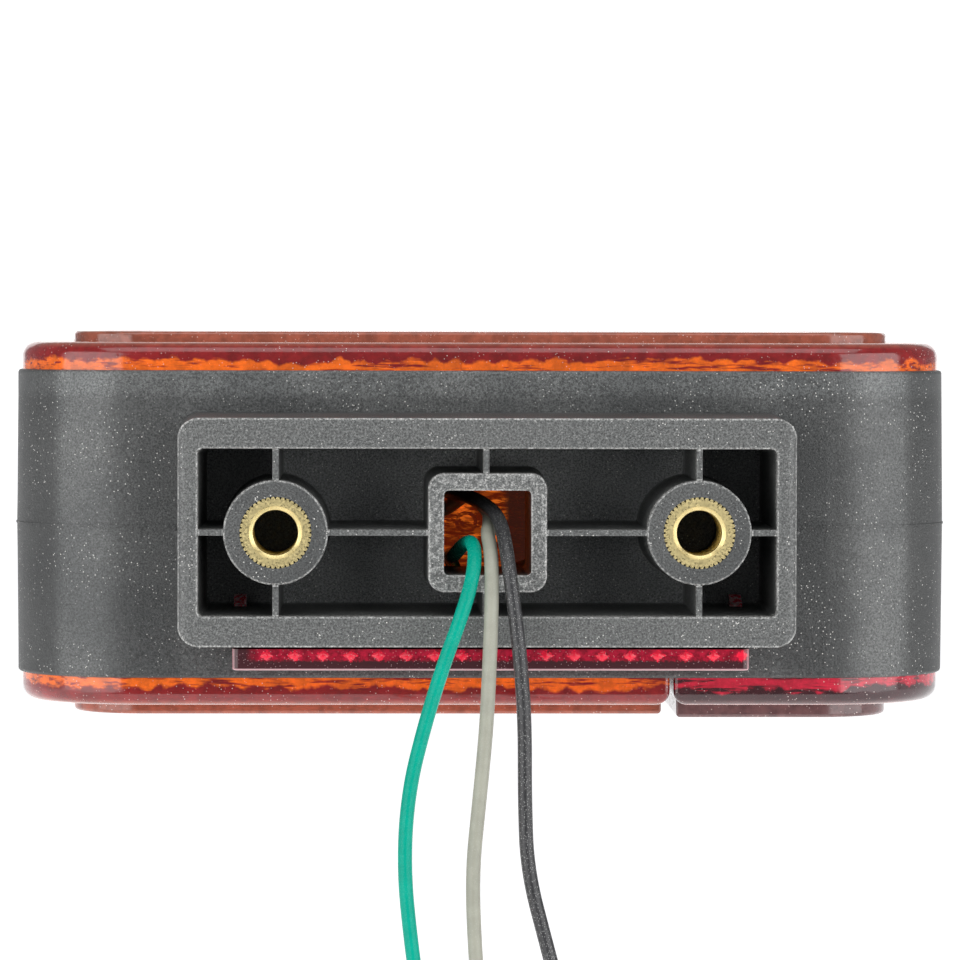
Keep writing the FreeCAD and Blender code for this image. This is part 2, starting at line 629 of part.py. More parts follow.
def reflector_back():
    """Back plate with two snap hooks that reach through the pedestal wall."""
    top, joint, _ = reflector_z()
    plate = reflector_plate(joint, top)
    inner = -POCKET_WIDTH / 2 + POCKET_DRAFT + HOOK_ROOM
    for side in (-1, 1):
        x = REFLECTOR_X + side * (HOOK_X - HOOK_WIDTH / 2)
        half = HOOK_WIDTH / 2
        leg = box(x - half, x + half, HOOK_Y[0], HOOK_Y[1], joint, inner)
        points = [
            Vector(x - half, HOOK_Y[0] - HOOK_BARB * BARB_START, inner),
            Vector(x - half, HOOK_Y[1], inner),
            Vector(x - half, HOOK_Y[1], inner + HOOK_BARB)]
        barb = Part.Face(Part.makePolygon(points + points[:1])).extrude(Vector(HOOK_WIDTH, 0, 0))
        plate = plate.fuse([leg, barb])
    return plate


def amber_liner():
    """Fluted amber screen along the far wall, with a shallow ring mark facing the wire tube."""
    y_face = Y_BACK - WALL - LINER_GAP
    x_low, x_high = LINER_X
    points = [Vector(x_low, y_face + LINER_THICK, -LINER_HALF), Vector(x_low, y_face, -LINER_HALF)]
    z = -LINER_HALF
    while z < LINER_HALF - EPS:
        points.append(Vector(x_low, y_face - FLUTE_DEPTH, z + FLUTE_PITCH * FLUTE_LEAN))
        z += FLUTE_PITCH
        points.append(Vector(x_low, y_face, z))
    points.append(Vector(x_low, y_face + LINER_THICK, LINER_HALF))
    plate = Part.Face(Part.makePolygon(points + points[:1])).extrude(Vector(x_high - x_low, 0, 0))
    mark_x, mark_z = RING_MARK
    start = y_face - FLUTE_DEPTH - RING_PROUD
    plate = plate.fuse(rod(RING_OUTER, (mark_x, start, mark_z), Y_AXIS, LINER_THICK))
    return plate.cut(rod(RING_INNER, (mark_x, start - 1, mark_z), Y_AXIS, 1 + RING_DEEP))


def red_chamber_shield():
    """White plate that closes the red chamber towards the front lens."""
    room = SHIELD_ROOM
    plate = slab(
        DIVIDER_RIGHT + room / 2, HALF_BODY - WALL - room, Y_INNER + room, Y_BACK - WALL - room,
        room / 2, BODY_CORNER - WALL - room, SHIELD_Z, SHIELD_Z + SHIELD_SHEET)
    z_low, z_high = SHIELD_Z - 1, SHIELD_Z + SHIELD_SHEET + 1
    holes = columns(COLUMN_R + SHIELD_HOLE_ROOM, z_low, z_high, (END_COLUMN_X,))
    half_web = WEB / 2 + SHIELD_HOLE_ROOM
    for y in (Y_FRONT + COLUMN_EDGE, Y_BACK - COLUMN_EDGE):
        holes.append(box(END_COLUMN_X, HALF_BODY, y - half_web, y + half_web, z_low, z_high))
    return plate.cut(holes)


def place_lamp(shape, lamp):
    """Move a lamp piece from its own frame, bulb along +Z, to its chamber."""
    placed = shape.copy()
    if lamp is AMBER_LAMP:
        placed.rotate(Vector(0, 0, 0), X_AXIS, -90)
        placed.translate(Vector(AMBER_LAMP_X, Y_INNER + lamp["post"] + SHEET, 0))
        return placed
    placed.rotate(Vector(0, 0, 0), Z_AXIS, 90)
    placed.rotate(Vector(0, 0, 0), Y_AXIS, 90)
    placed.translate(Vector(DIVIDER_RIGHT + lamp["post"] + SHEET, RED_LAMP_Y, 0))
    return placed


def post(lamp, side):
    length = lamp["post"] + 1
    return rod(POST_R, (side * lamp["post_x"], 0, -SHEET - length), Z_AXIS, length)


def bracket_screw_hole(lamp, side):
    return rod(BRACKET_SCREW_R, (side * lamp["post_x"], 0, -SHEET - lamp["post"]), Z_AXIS, lamp["post"] + 1)


def bracket(lamp):
    """Sheet plate with two turned-up edges, a socket hole and two screw holes."""
    half_l = lamp["half_length"]
    half_w = lamp["half_width"]
    plate = box(-half_l, half_l, -half_w, half_w, -SHEET, 0)
    for side in (-1, 1):
        low, high = sorted((side * half_w, side * (half_w + SHEET)))
        plate = plate.fuse(box(-half_l, half_l, low, high, -SHEET, FLANGE))
    plate = plate.cut(rod(lamp["shell_r"], (0, 0, -2), Z_AXIS, 4))
    for side in (-1, 1):
        plate = plate.cut(rod(BRACKET_SCREW_R + 0.2, (side * lamp["post_x"], 0, -2), Z_AXIS, 4))
    return plate


def socket_shell(lamp):
    """Tube with a rolled bottom and two J slots for the bulb's pins."""
    length = lamp["shell_length"]
    shell = rod(lamp["shell_r"], (0, 0, -SHEET), Z_AXIS, length + SHEET)
    shell = shell.cut(rod(lamp["shell_bore"], (0, 0, 0), Z_AXIS, length + 1))
    shell = shell.cut(rod(lamp["shell_bore"] - 1.5, (0, 0, -2), Z_AXIS, 4))
    pin_z = lamp["base_start"] + lamp["base_length"] / 2
    width = PIN_R + 0.2
    for turn in (0, 180):
        slot = box(-width, width, 0, lamp["shell_r"] + 1, pin_z - width, length + 1)
        hook = box(-width, width * 3, 0, lamp["shell_r"] + 1, pin_z - width, pin_z + width)
        for cutter in (slot, hook):
            cutter.rotate(Vector(0, 0, 0), Z_AXIS, turn)
            shell = shell.cut(cutter)
    return shell


def insulator(lamp):
    disc = rod(lamp["shell_bore"] - 0.1, (0, 0, 0), Z_AXIS, INSULATOR)
    slot = box(-CONTACT_WIDTH / 2, CONTACT_WIDTH / 2, -CONTACT_SHEET, CONTACT_SHEET, -1, 3)
    return disc.cut(slot)


def contact(lamp):
    """Spring leaf that presses on the bulb's button, with a tail through the insulator."""
    half = CONTACT_WIDTH / 2
    top = lamp["base_start"] - 0.6
    tail = box(-half, half, -CONTACT_SHEET / 2, CONTACT_SHEET / 2, -CONTACT_REACH, INSULATOR + CONTACT_SHEET)
    foot = box(-half, half, -CONTACT_BACK, CONTACT_SHEET / 2, INSULATOR, INSULATOR + CONTACT_SHEET)
    rise = box(-half, half, -CONTACT_BACK, -CONTACT_BACK + CONTACT_SHEET, INSULATOR, top)
    pad = box(-half, half, -CONTACT_BACK, CONTACT_REACH, top - CONTACT_SHEET, top)
    return tail.fuse([foot, rise, pad])


def bulb_base(lamp):
    """Bayonet cap with two pins, closed at the bottom by its insulating cone."""
    start = lamp["base_start"]
    radius = lamp["base_r"]
    cap = rod(radius, (0, 0, start + 1), Z_AXIS, lamp["base_length"] - 1)
    cap = cap.fuse(Part.makeCone(radius * 0.55, radius, 1, Vector(0, 0, start), Z_AXIS))
    cap = cap.cut(rod(radius - 0.6, (0, 0, start + 3), Z_AXIS, lamp["base_length"]))
    reach = lamp["shell_r"] + 0.3
    for turn in (0, 180):
        pin = rod(PIN_R, (0, radius - 0.5, start + lamp["base_length"] / 2), Y_AXIS, reach - radius + 0.5)
        pin.rotate(Vector(0, 0, 0), Z_AXIS, turn)
        cap = cap.fuse(pin)
    return cap


def bulb_button(lamp):
    return rod(1.8, (0, 0, lamp["base_start"] - 0.6), Z_AXIS, 0.6)


def bulb_glass(lamp):
    """Round envelope on a short neck, open at the cap."""
    start = lamp["base_start"] + lamp["base_length"] - 2
    neck_r = lamp["base_r"] - 0.7
    centre = start + 2 + lamp["neck"] + lamp["glass_r"]
    ball = Part.makeSphere(lamp["glass_r"], Vector(0, 0, centre))
    neck = rod(neck_r, (0, 0, start), Z_AXIS, centre - start)
    inner_ball = Part.makeSphere(lamp["glass_r"] - GLASS_WALL, Vector(0, 0, centre))
    inner_neck = rod(neck_r - GLASS_WALL, (0, 0, start - 1), Z_AXIS, centre - start)
    return ball.fuse(neck).cut(inner_ball).cut(inner_neck)


def stem_top(lamp):
    return lamp["base_start"] + lamp["base_length"] + lamp["neck"] * 0.9


def bulb_stem(lamp):
    start = lamp["base_start"] + 4
    wide = lamp["base_r"] * 0.55
    return Part.makeCone(wide, wide * 0.45, stem_top(lamp) - start, Vector(0, 0, start), Z_AXIS)


def bulb_filament(lamp):
    """Two support wires and the coil between them, as one piece."""
    reach = lamp["glass_r"] * 0.3
    start = stem_top(lamp) - 1.0
    top = lamp["base_start"] + lamp["base_length"] + lamp["neck"] + lamp["glass_r"]
    wires = []
    for side in (-1, 1):
        low = Vector(side * 0.9, 0, start)
        high = Vector(side * reach, 0, top)
        wires.append(Part.makeCylinder(0.25, (high - low).Length, low, high - low))
    wires.append(rod(0.4, (-reach, 0, top), X_AXIS, 2 * reach))
    return wires[0].fuse(wires[1:])


def bracket_screw(lamp, side):
    x = side * lamp["post_x"]
    head = rod(BRACKET_HEAD_R, (x, 0, 2 * RING_SHEET), Z_AXIS, BRACKET_HEAD_HEIGHT)
    start = -SHEET - lamp["post"] + 0.5
    shank = rod(BRACKET_SCREW_R, (x, 0, start), Z_AXIS, 2 * RING_SHEET + 0.2 - start)
    top = 2 * RING_SHEET + BRACKET_HEAD_HEIGHT
    slot = box(x - 3, x + 3, -BRACKET_SLOT / 2, BRACKET_SLOT / 2, top - BRACKET_SLOT, top + 1)
    return head.fuse(shank).cut(slot)


def ring_terminal(lamp, side, height, direction):
    """Flat ring under a bracket screw with a crimp barrel towards direction."""
    x = side * lamp["post_x"]
    ring = rod(RING_R - height, (x, 0, height), Z_AXIS, RING_SHEET)
    start = Vector(x, 0, height + BARREL_R) + direction * (RING_R - RING_SHEET)
    barrel = Part.makeCylinder(BARREL_R, BARREL_LENGTH, start, direction)
    return ring.fuse(barrel).cut(rod(RING_HOLE, (x, 0, height - 1), Z_AXIS, 1.7))


def tube_path(points, label):
    """Wire of straight runs joined by tangent arcs as large as the shorter run allows."""
    vectors = [Vector(*p) for p in points]
    edges = []
    radii = []
    last = vectors[0]
    for k in range(1, len(vectors) - 1):
        before = vectors[k] - vectors[k - 1]
        after = vectors[k + 1] - vectors[k]
        turn = before.getAngle(after)
        setback = ARC_SHARE * min(before.Length, after.Length)
        radii.append(setback / math.tan(turn / 2))
        into = before * (1 / before.Length)
        out = after * (1 / after.Length)
        start = vectors[k] - into * setback
        end = vectors[k] + out * setback
        inward = (out - into).normalize()
        half = turn / 2
        middle = vectors[k] + inward * (radii[-1] / math.cos(half) - radii[-1])
        edges.append(Part.LineSegment(last, start).toShape())
        edges.append(Part.Arc(start, middle, end).toShape())
        last = end
    edges.append(Part.LineSegment(last, vectors[-1]).toShape())
    path = Part.Wire(edges)
    print(label, "length", round(path.Length, 1), "least radius", round(min(radii), 1),
          "radii", [round(r) for r in radii])
    return path


def tube(points, radius, label):
    """Round wire swept along its route."""
    path = tube_path(points, label)
    start = Vector(*points[0])
    direction = Vector(*points[1]) - start
    section = Part.Wire(Part.makeCircle(radius, start, direction))
    solid = path.makePipeShell([section], True, False)
    ratio = solid.Volume / (math.pi * radius ** 2 * path.Length)
    print(label, "volume over section times length", round(ratio, 4), "valid", solid.isValid())
    return solid


def lead_tip(points):
    end = Vector(*points[-1])
    direction = (end - Vector(*points[-2])).normalize()
    return Part.makeCylinder(CORE_R, TIP_LENGTH, end, direction)


def lamp_nodes(lamp):
    makers = {
        "bracket": bracket, "socket_shell": socket_shell, "insulator": insulator, "contact": contact,
        "bulb_base": bulb_base, "bulb_button": bulb_button, "bulb_glass": bulb_glass,
        "bulb_stem": bulb_stem, "bulb_filament": bulb_filament,
    }
    return {lamp["name"] + "_" + name: place_lamp(make(lamp), lamp) for name, make in makers.items()}


def wiring_nodes():
    nodes = {
        "lead_black": tube(LEAD_BLACK, LEAD_R, "lead_black"),
        "lead_grey": tube(LEAD_GREY, LEAD_R, "lead_grey"),
        "lead_green": tube(LEAD_GREEN, LEAD_R, "lead_green"),
        "inner_lead_black": tube(INNER_BLACK, LEAD_R, "inner_lead_black"),
        "inner_lead_grey": tube(INNER_GREY, LEAD_R, "inner_lead_grey"),
        "inner_lead_green": tube(INNER_GREEN, LEAD_R, "inner_lead_green"),
        "ground_jumper": tube(GROUND_JUMPER, LEAD_R, "ground_jumper"),
    }
    nodes["lead_tips"] = Part.makeCompound([lead_tip(p) for p in (LEAD_BLACK, LEAD_GREY, LEAD_GREEN)])
    return nodes


def all_nodes():
    half = INSERT_SPACING / 2
    nodes = {
        "housing": housing(),
        "insert_left": insert(-half),
        "insert_right": insert(half),
        "front_lens_amber": seat(lens("front"), True),
        "rear_lens_amber": seat(lens("amber"), False),
        "rear_lens_red": seat(lens("red"), False),
        "front_lens_gasket": seat(gasket("front"), True),
        "rear_amber_gasket": seat(gasket("amber"), False),
        "rear_red_gasket": seat(gasket("red"), False),
        "front_lens_screws": seat(lens_screws("front"), True),
        "rear_amber_screws": seat(lens_screws("amber"), False),
        "rear_red_screws": seat(lens_screws("red"), False),
        "reflector_face": reflector_face(),
        "reflector_back": reflector_back(),
        "amber_liner": amber_liner(),
        "red_chamber_shield": red_chamber_shield(),
    }
    nodes.update(lamp_nodes(AMBER_LAMP))
    nodes.update(lamp_nodes(RED_LAMP))
    screws = []
    for lamp in (AMBER_LAMP, RED_LAMP):
        screws += [place_lamp(bracket_screw(lamp, side), lamp) for side in (-1, 1)]
    nodes["bracket_screws"] = Part.makeCompound(screws)
    rings = [
        place_lamp(ring_terminal(AMBER_LAMP, 1, 0, X_AXIS), AMBER_LAMP),
        place_lamp(ring_terminal(AMBER_LAMP, 1, RING_SHEET, Y_AXIS), AMBER_LAMP),
        place_lamp(ring_terminal(RED_LAMP, -1, 0, -X_AXIS), RED_LAMP),
    ]
    nodes["ring_terminals"] = Part.makeCompound(rings)
    nodes.update(wiring_nodes())
    return nodes


os.makedirs("parts", exist_ok=True)
for node_name, node_shape in all_nodes().items():
    solids = len(node_shape.Solids)
    print(node_name, solids, "solids", round(node_shape.Volume), "mm3", node_shape.isValid())
    node_shape.exportStep("parts/" + node_name + ".step")
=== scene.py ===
"""Looks of a double-faced pedestal lamp for a trailer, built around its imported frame."""

import json
import logging
import math
from dataclasses import dataclass, field
from enum import Enum
from typing import Callable

import bmesh
import bpy
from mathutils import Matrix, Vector


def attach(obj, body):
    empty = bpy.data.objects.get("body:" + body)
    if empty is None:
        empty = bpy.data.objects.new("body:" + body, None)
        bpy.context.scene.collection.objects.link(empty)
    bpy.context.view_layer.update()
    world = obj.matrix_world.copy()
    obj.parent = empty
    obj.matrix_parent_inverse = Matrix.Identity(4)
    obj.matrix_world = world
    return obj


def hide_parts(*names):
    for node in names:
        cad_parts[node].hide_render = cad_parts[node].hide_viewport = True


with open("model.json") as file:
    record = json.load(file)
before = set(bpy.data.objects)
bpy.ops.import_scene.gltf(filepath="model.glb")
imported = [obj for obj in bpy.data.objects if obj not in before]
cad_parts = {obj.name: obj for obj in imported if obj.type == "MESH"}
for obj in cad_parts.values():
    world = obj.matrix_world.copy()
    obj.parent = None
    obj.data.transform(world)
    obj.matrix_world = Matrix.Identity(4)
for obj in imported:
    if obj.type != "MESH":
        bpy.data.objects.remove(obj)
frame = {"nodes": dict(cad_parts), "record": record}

log = logging.getLogger("lamp")
MM = 0.001
ACRYLIC_IOR = 1.49
GRAIN_CORE = 0.6  # share of a dust grain's radius that is fully dusty
MIX_FACTOR, MIX_FIRST, MIX_SECOND, MIX_RESULT = 0, 6, 7, 2  # a colour Mix node's sockets
Point = tuple[float, float, float]
Colour = tuple[float, float, float]


class Lead(Enum):
    """The three leads that hang out of the wire tube."""

    BLACK = "black"
    GREY = "grey"
    GREEN = "green"


class Element(Enum):
    """Kinds of mesh element, each with the name of its list in a mesh."""

    VERT = "verts"
    EDGE = "edges"
    FACE = "faces"


def select(piece: bpy.types.Object, kind: Element, wanted: Callable[[object], bool]) -> None:
    """Select some of a piece's elements in edit mode, and nothing else.

    Args:
        piece: The piece being edited.
        kind: Which kind of element.
        wanted: Tells which elements to take.
    """
    bpy.ops.mesh.select_mode(type=kind.name)
    bpy.ops.mesh.select_all(action="DESELECT")
    mesh = bmesh.from_edit_mesh(piece.data)
    chosen = [item for item in getattr(mesh, kind.value) if wanted(item)]
    for item in chosen:
        item.select_set(True)
    mesh.select_flush_mode()
    bmesh.update_edit_mesh(piece.data)


class Shader:
    """A material's node tree with short ways to add what the finishes need."""

    def __init__(self, name: str) -> None:
        """Start an empty tree that holds one Principled shader.

        Args:
            name: Name of the material.
        """
        self.material = bpy.data.materials.new(name)
        self.material.use_nodes = True
        self.tree = self.material.node_tree
        self.tree.nodes.clear()
        self.output = self.tree.nodes.new("ShaderNodeOutputMaterial")
        self.surface = self.tree.nodes.new("ShaderNodeBsdfPrincipled")
        self.link(self.surface.outputs["BSDF"], self.output.inputs["Surface"])
        self.place = self.tree.nodes.new("ShaderNodeTexCoord").outputs["Object"]

    def link(self, source: bpy.types.NodeSocket, target: bpy.types.NodeSocket) -> None:
        """Join two sockets."""
        self.tree.links.new(source, target)

    def fixed(self, **values: float | Colour) -> None:
        """Set values straight on the Principled shader, underscores standing for spaces.

        Args:
            **values: Value by input name.
        """
        for key, value in values.items():
            socket = self.surface.inputs[key.replace("_", " ")]
            socket.default_value = (*value, 1.0) if isinstance(value, tuple) else value

    def drive(self, name: str, source: bpy.types.NodeSocket) -> None:
        """Link a socket into one of the Principled shader's inputs."""
        self.link(source, self.surface.inputs[name])

    def feed(self, node: bpy.types.Node, index: int | str, value: object) -> None:
        """Give a node's input a socket or a plain value.

        Args:
            node: The node.
            index: Number or name of its input.
            value: A socket to link, or a value to set.
        """
        target = node.inputs[index]
        if isinstance(value, bpy.types.NodeSocket):
            self.link(value, target)
        elif isinstance(value, tuple) and target.type == "RGBA":
            target.default_value = (*value, 1.0)
        else:
            target.default_value = value

    def noise(self, scale: float, detail: float = 3.0, roughness: float = 0.55,
              stretch: Point = (1.0, 1.0, 1.0)) -> bpy.types.NodeSocket:
        """Fractal noise on the piece's own coordinates.

        Args:
            scale: Features per metre.
            detail: Octaves.
            roughness: Share of the fine octaves.
            stretch: Scale along each axis.

        Returns:
            The noise value, around one half.
        """
        mapping = self.tree.nodes.new("ShaderNodeMapping")
        self.link(self.place, mapping.inputs["Vector"])
        mapping.inputs["Scale"].default_value = stretch
        node = self.tree.nodes.new("ShaderNodeTexNoise")
        self.link(mapping.outputs["Vector"], node.inputs["Vector"])
        node.inputs["Scale"].default_value = scale
        node.inputs["Detail"].default_value = detail
        node.inputs["Roughness"].default_value = roughness
        return node.outputs["Fac"]

    def cells(self, scale: float) -> bpy.types.NodeSocket:
        """Distance to the nearest point of a scatter with scale points per metre.

        Args:
            scale: Points per metre.

        Returns:
            The distance, in cells.
        """
        node = self.tree.nodes.new("ShaderNodeTexVoronoi")
        self.link(self.place, node.inputs["Vector"])
        node.inputs["Scale"].default_value = scale
        return node.outputs["Distance"]

    def ramp(self, value: bpy.types.NodeSocket, low: float, high: float,
             to_low: float = 0.0, to_high: float = 1.0) -> bpy.types.NodeSocket:
        """Map a value from low..high to to_low..to_high, smoothly and clamped.

        Args:
            value: The value.
            low: Where the change starts.
            high: Where it ends.
            to_low: Result up to low.
            to_high: Result from high on.

        Returns:
            The mapped value.
        """
        node = self.tree.nodes.new("ShaderNodeMapRange")
        node.interpolation_type = "SMOOTHSTEP"
        for index, number in enumerate((low, high, to_low, to_high), start=1):
            node.inputs[index].default_value = number
        self.link(value, node.inputs[0])
        return node.outputs[0]

    def sums(self, kind: str, first: object, second: object) -> bpy.types.NodeSocket:
        """One step of arithmetic on two values.

        Args:
            kind: Name of the Math node's operation.
            first: First value or socket.
            second: Second value or socket.

        Returns:
            The result.
        """
        node = self.tree.nodes.new("ShaderNodeMath")
        node.operation = kind
        self.feed(node, 0, first)
        self.feed(node, 1, second)
        return node.outputs[0]

    def blend(self, factor: object, first: object, second: object) -> bpy.types.NodeSocket:
        """Mix two colours by a factor.

        Args:
            factor: Share of the second colour.
            first: Colour at nothing.
            second: Colour at one.

        Returns:
            The mixed colour.
        """
        node = self.tree.nodes.new("ShaderNodeMix")
        node.data_type = "RGBA"
        self.feed(node, MIX_FACTOR, factor)
        self.feed(node, MIX_FIRST, first)
        self.feed(node, MIX_SECOND, second)
        return node.outputs[MIX_RESULT]

    def scale_colour(self, colour: object, factor: object) -> bpy.types.NodeSocket:
        """Multiply a colour by a number.

        Args:
            colour: The colour.
            factor: The number.

        Returns:
            The scaled colour.
        """
        node = self.tree.nodes.new("ShaderNodeVectorMath")
        node.operation = "SCALE"
        self.feed(node, 0, colour)
        self.feed(node, "Scale", factor)
        return node.outputs[0]

    def size(self, value: bpy.types.NodeSocket) -> bpy.types.NodeSocket:
        """A value without its sign."""
        return self.sums("ABSOLUTE", value, 0.0)

    def distance(self, first: bpy.types.NodeSocket, second: bpy.types.NodeSocket) -> bpy.types.NodeSocket:
        """Length of the way made of two steps at right angles."""
        squares = self.sums("ADD", self.sums("MULTIPLY", first, first), self.sums("MULTIPLY", second, second))
        return self.sums("SQRT", squares, 0.0)

    def level(self, low: float, high: float) -> bpy.types.NodeSocket:
        """Rises from nothing to one as a face turns from low to high shares of level.

        Args:
            low: Share of level where it starts.
            high: Share where it is complete.

        Returns:
            The value.
        """
        plain = self.tree.nodes.new("ShaderNodeNewGeometry")
        node = self.tree.nodes.new("ShaderNodeSeparateXYZ")
        self.link(plain.outputs["Normal"], node.inputs[0])
        return self.ramp(self.size(node.outputs["Z"]), low, high)

    def product(self, *values: object) -> bpy.types.NodeSocket:
        """Multiply several values.

        Args:
            *values: The values or sockets.

        Returns:
            Their product.
        """
        total = values[0]
        for value in values[1:]:
            total = self.sums("MULTIPLY", total, value)
        return total

    def outline(self, across: object, up: object, half: tuple[float, float],
                corner: float) -> bpy.types.NodeSocket:
        """Distance from a rounded rectangle's outline, below nothing inside it.

        Args:
            across: Coordinate along the rectangle, in millimetres.
            up: Coordinate up it, in millimetres.
            half: Half its length and height.
            corner: Radius of its corners.

        Returns:
            The distance in millimetres.
        """
        beyond = [self.sums("SUBTRACT", self.size(place), reach - corner)
                  for place, reach in zip((across, up), half)]
        outside = self.distance(*(self.sums("MAXIMUM", value, 0.0) for value in beyond))
        inside = self.sums("MINIMUM", self.sums("MAXIMUM", *beyond), 0.0)
        return self.sums("SUBTRACT", self.sums("ADD", outside, inside), corner)

    def specks(self, scale: float, reach: float) -> bpy.types.NodeSocket:
        """Scattered dust grains, reach being their radius in cells."""
        return self.ramp(self.cells(scale), reach, reach * GRAIN_CORE)

    def axis(self, name: str) -> bpy.types.NodeSocket:
        """One coordinate of the place on the piece, in metres.

        Args:
            name: X, Y or Z.

        Returns:
            The coordinate.
        """
        node = self.tree.nodes.new("ShaderNodeSeparateXYZ")
        self.link(self.place, node.inputs[0])
        return node.outputs[name]

    def relief(self, height: bpy.types.NodeSocket, depth: float, strength: float = 1.0) -> None:
        """Bump the surface by a height map.

        Args:
            height: The map, from nothing to one.
            depth: Depth of a full step, in metres.
            strength: Share of the bump that shows.
        """
        bump = self.tree.nodes.new("ShaderNodeBump")
        bump.inputs["Distance"].default_value = depth
        bump.inputs["Strength"].default_value = strength
        self.link(height, bump.inputs["Height"])
        self.drive("Normal", bump.outputs["Normal"])


@dataclass(frozen=True)
class MouldedPlastic:
    """Matt black moulded plastic with grain, dust and a rubbed mounting face, with painted light and shade in
    bands across the body and painted highlights along the mounting face's edges.
    """

    name: str = "body_plastic"
    dark: Colour = (0.037, 0.039, 0.039)
    light: Colour = (0.062, 0.064, 0.063)
    rubbed: Colour = (0.125, 0.128, 0.125)
    # Colour of the scuffs by the tube end, also used for the painted highlights along the mounting face's
    # edges.
    scuff_and_edge_highlight: Colour = (0.34, 0.34, 0.33)
    dust: Colour = (0.62, 0.61, 0.58)
    boss_x: float = 31.75
    boss_r: float = 7.85
    rib_depth: float = 0.7
    rim: tuple[float, float, float] = (46.45, 17.15, 3.2)
    pocket: tuple[float, float, float] = (43.4, 12.57, 0.8)
    tube: tuple[float, float, float] = (8.9, 8.9, 2.4)
    bore: tuple[float, float, float] = (6.55, 6.35, 1.0)
    # Width of the painted highlight lines along the mounting face's edges, in millimetres.
    edge_highlight_width: float = 0.22
    # Painted light: the body is made lighter along its top strip.
    top_strip: float = 20.6
    strip_blur: tuple[float, float] = (-1.6, 0.8)
    painted_top_light_gain: float = 1.75
    # Painted light: the pocket floor is brightened between these depths.
    floor_y: tuple[float, float] = (19.0, 23.0)
    painted_floor_light_gain: float = 3.3
    cloud_scale: float = 60.0
    grain_scale: float = 3200.0
    grain_gain: tuple[float, float] = (0.32, 1.80)
    grain_depth: float = 0.00012
    dust_scale: float = 1500.0
    lip_dust_scale: float = 2600.0
    film_scale: float = 1500.0
    blotch_scale: float = 1000.0
    break_scale: float = 1800.0
    # Painted light and shade along |x|, as (start, end, gain before, gain after): painted shade beside the
    # pedestal, a painted highlight band where the side softboxes reflect, and painted shade on the rounded
    # ends.
    painted_light_gains: tuple[tuple[float, float, float, float], ...] = (
        (45.5, 48.0, 1.0, 0.80), (55.0, 60.0, 1.0, 1.75), (64.5, 67.0, 1.0, 0.42))

    def make(self) -> bpy.types.Material:
        """Build the material.

        Returns:
            The material.
        """
        shader = Shader(self.name)
        x, y, z = (shader.sums("MULTIPLY", shader.axis(name), 1 / MM) for name in "XYZ")
        grain = shader.noise(self.grain_scale, 2.0, 0.8)
        clouds = shader.ramp(shader.noise(self.cloud_scale, 5.0, 0.6), 0.32, 0.68)
        tone = shader.blend(clouds, self.dark, self.light)
        pocket = shader.product(
            shader.ramp(y, 0.4, 0.9), shader.ramp(y, 24.6, 24.3),
            shader.ramp(shader.outline(x, z, self.pocket[:2], self.pocket[2]), 0.7, 0.5))
        # Painted light and shade: the tone is scaled by the |x| bands, a lighter top strip and a brightened
        # pocket floor.
        painted_light_gains = [shader.ramp(shader.size(x), *gain) for gain in self.painted_light_gains]
        low, high = (self.top_strip + step for step in self.strip_blur)
        painted_light_gains.append(shader.ramp(z, low, high, 1.0, self.painted_top_light_gain))
        floor = shader.product(pocket, shader.ramp(y, *self.floor_y))
        painted_light_gains.append(shader.ramp(floor, 0.0, 1.0, 1.0, self.painted_floor_light_gain))
        tone = shader.scale_colour(tone, shader.product(*painted_light_gains))
        tone = self.wear(shader, tone, x, y, z)
        tone = shader.scale_colour(tone, shader.ramp(grain, 0.30, 0.72, *self.grain_gain))
        patches = shader.ramp(shader.noise(110.0, 4.0), 0.42, 0.60, 0.15, 1.0)
        dusty = shader.product(shader.specks(self.dust_scale, 0.17), patches)
        lip = shader.product(shader.ramp(y, 4.5, 0.5), pocket,
                             shader.specks(self.lip_dust_scale, 0.42))
        tone = shader.blend(shader.sums("MAXIMUM", dusty, lip), tone, self.dust)
        shader.drive("Base Color", tone)
        shader.drive("Roughness", shader.ramp(grain, 0.3, 0.7, 0.36, 0.56))
        shader.fixed(Specular_IOR_Level=0.6)
        shader.relief(grain, self.grain_depth, 0.7)
        return shader.material

    def wear(self, shader: Shader, tone: object, x: object, y: object, z: object) -> bpy.types.NodeSocket:
        """Lighten the rubbed rim and the scuffed tube end, and paint highlights along the edges of the
        mounting face.

        Args:
            shader: The material's tree.
            tone: Colour so far.
            x: Millimetres along the lamp.
            y: Depth in millimetres.
            z: Height in millimetres.

        Returns:
            The worn colour.
        """
        front = shader.ramp(y, self.rib_depth, 0.2)
        off_boss = shader.distance(shader.sums("SUBTRACT", shader.size(x), self.boss_x), z)
        bare = shader.ramp(off_boss, self.boss_r + 0.4, self.boss_r + 0.6)
        film = shader.ramp(shader.noise(self.film_scale, 5.0, 0.9), 0.40, 0.64, 0.15, 1.0)
        tone = shader.blend(shader.product(front, bare, film), tone, self.rubbed)
        off_tube = shader.outline(x, z, self.tube[:2], self.tube[2])
        blotches = shader.ramp(shader.noise(self.blotch_scale, 6.0, 0.85), 0.46, 0.62, 0.0, 0.85)
        scuffs = shader.product(front, shader.ramp(off_tube, 0.4, 0.2), blotches)
        tone = shader.blend(scuffs, tone, self.scuff_and_edge_highlight)
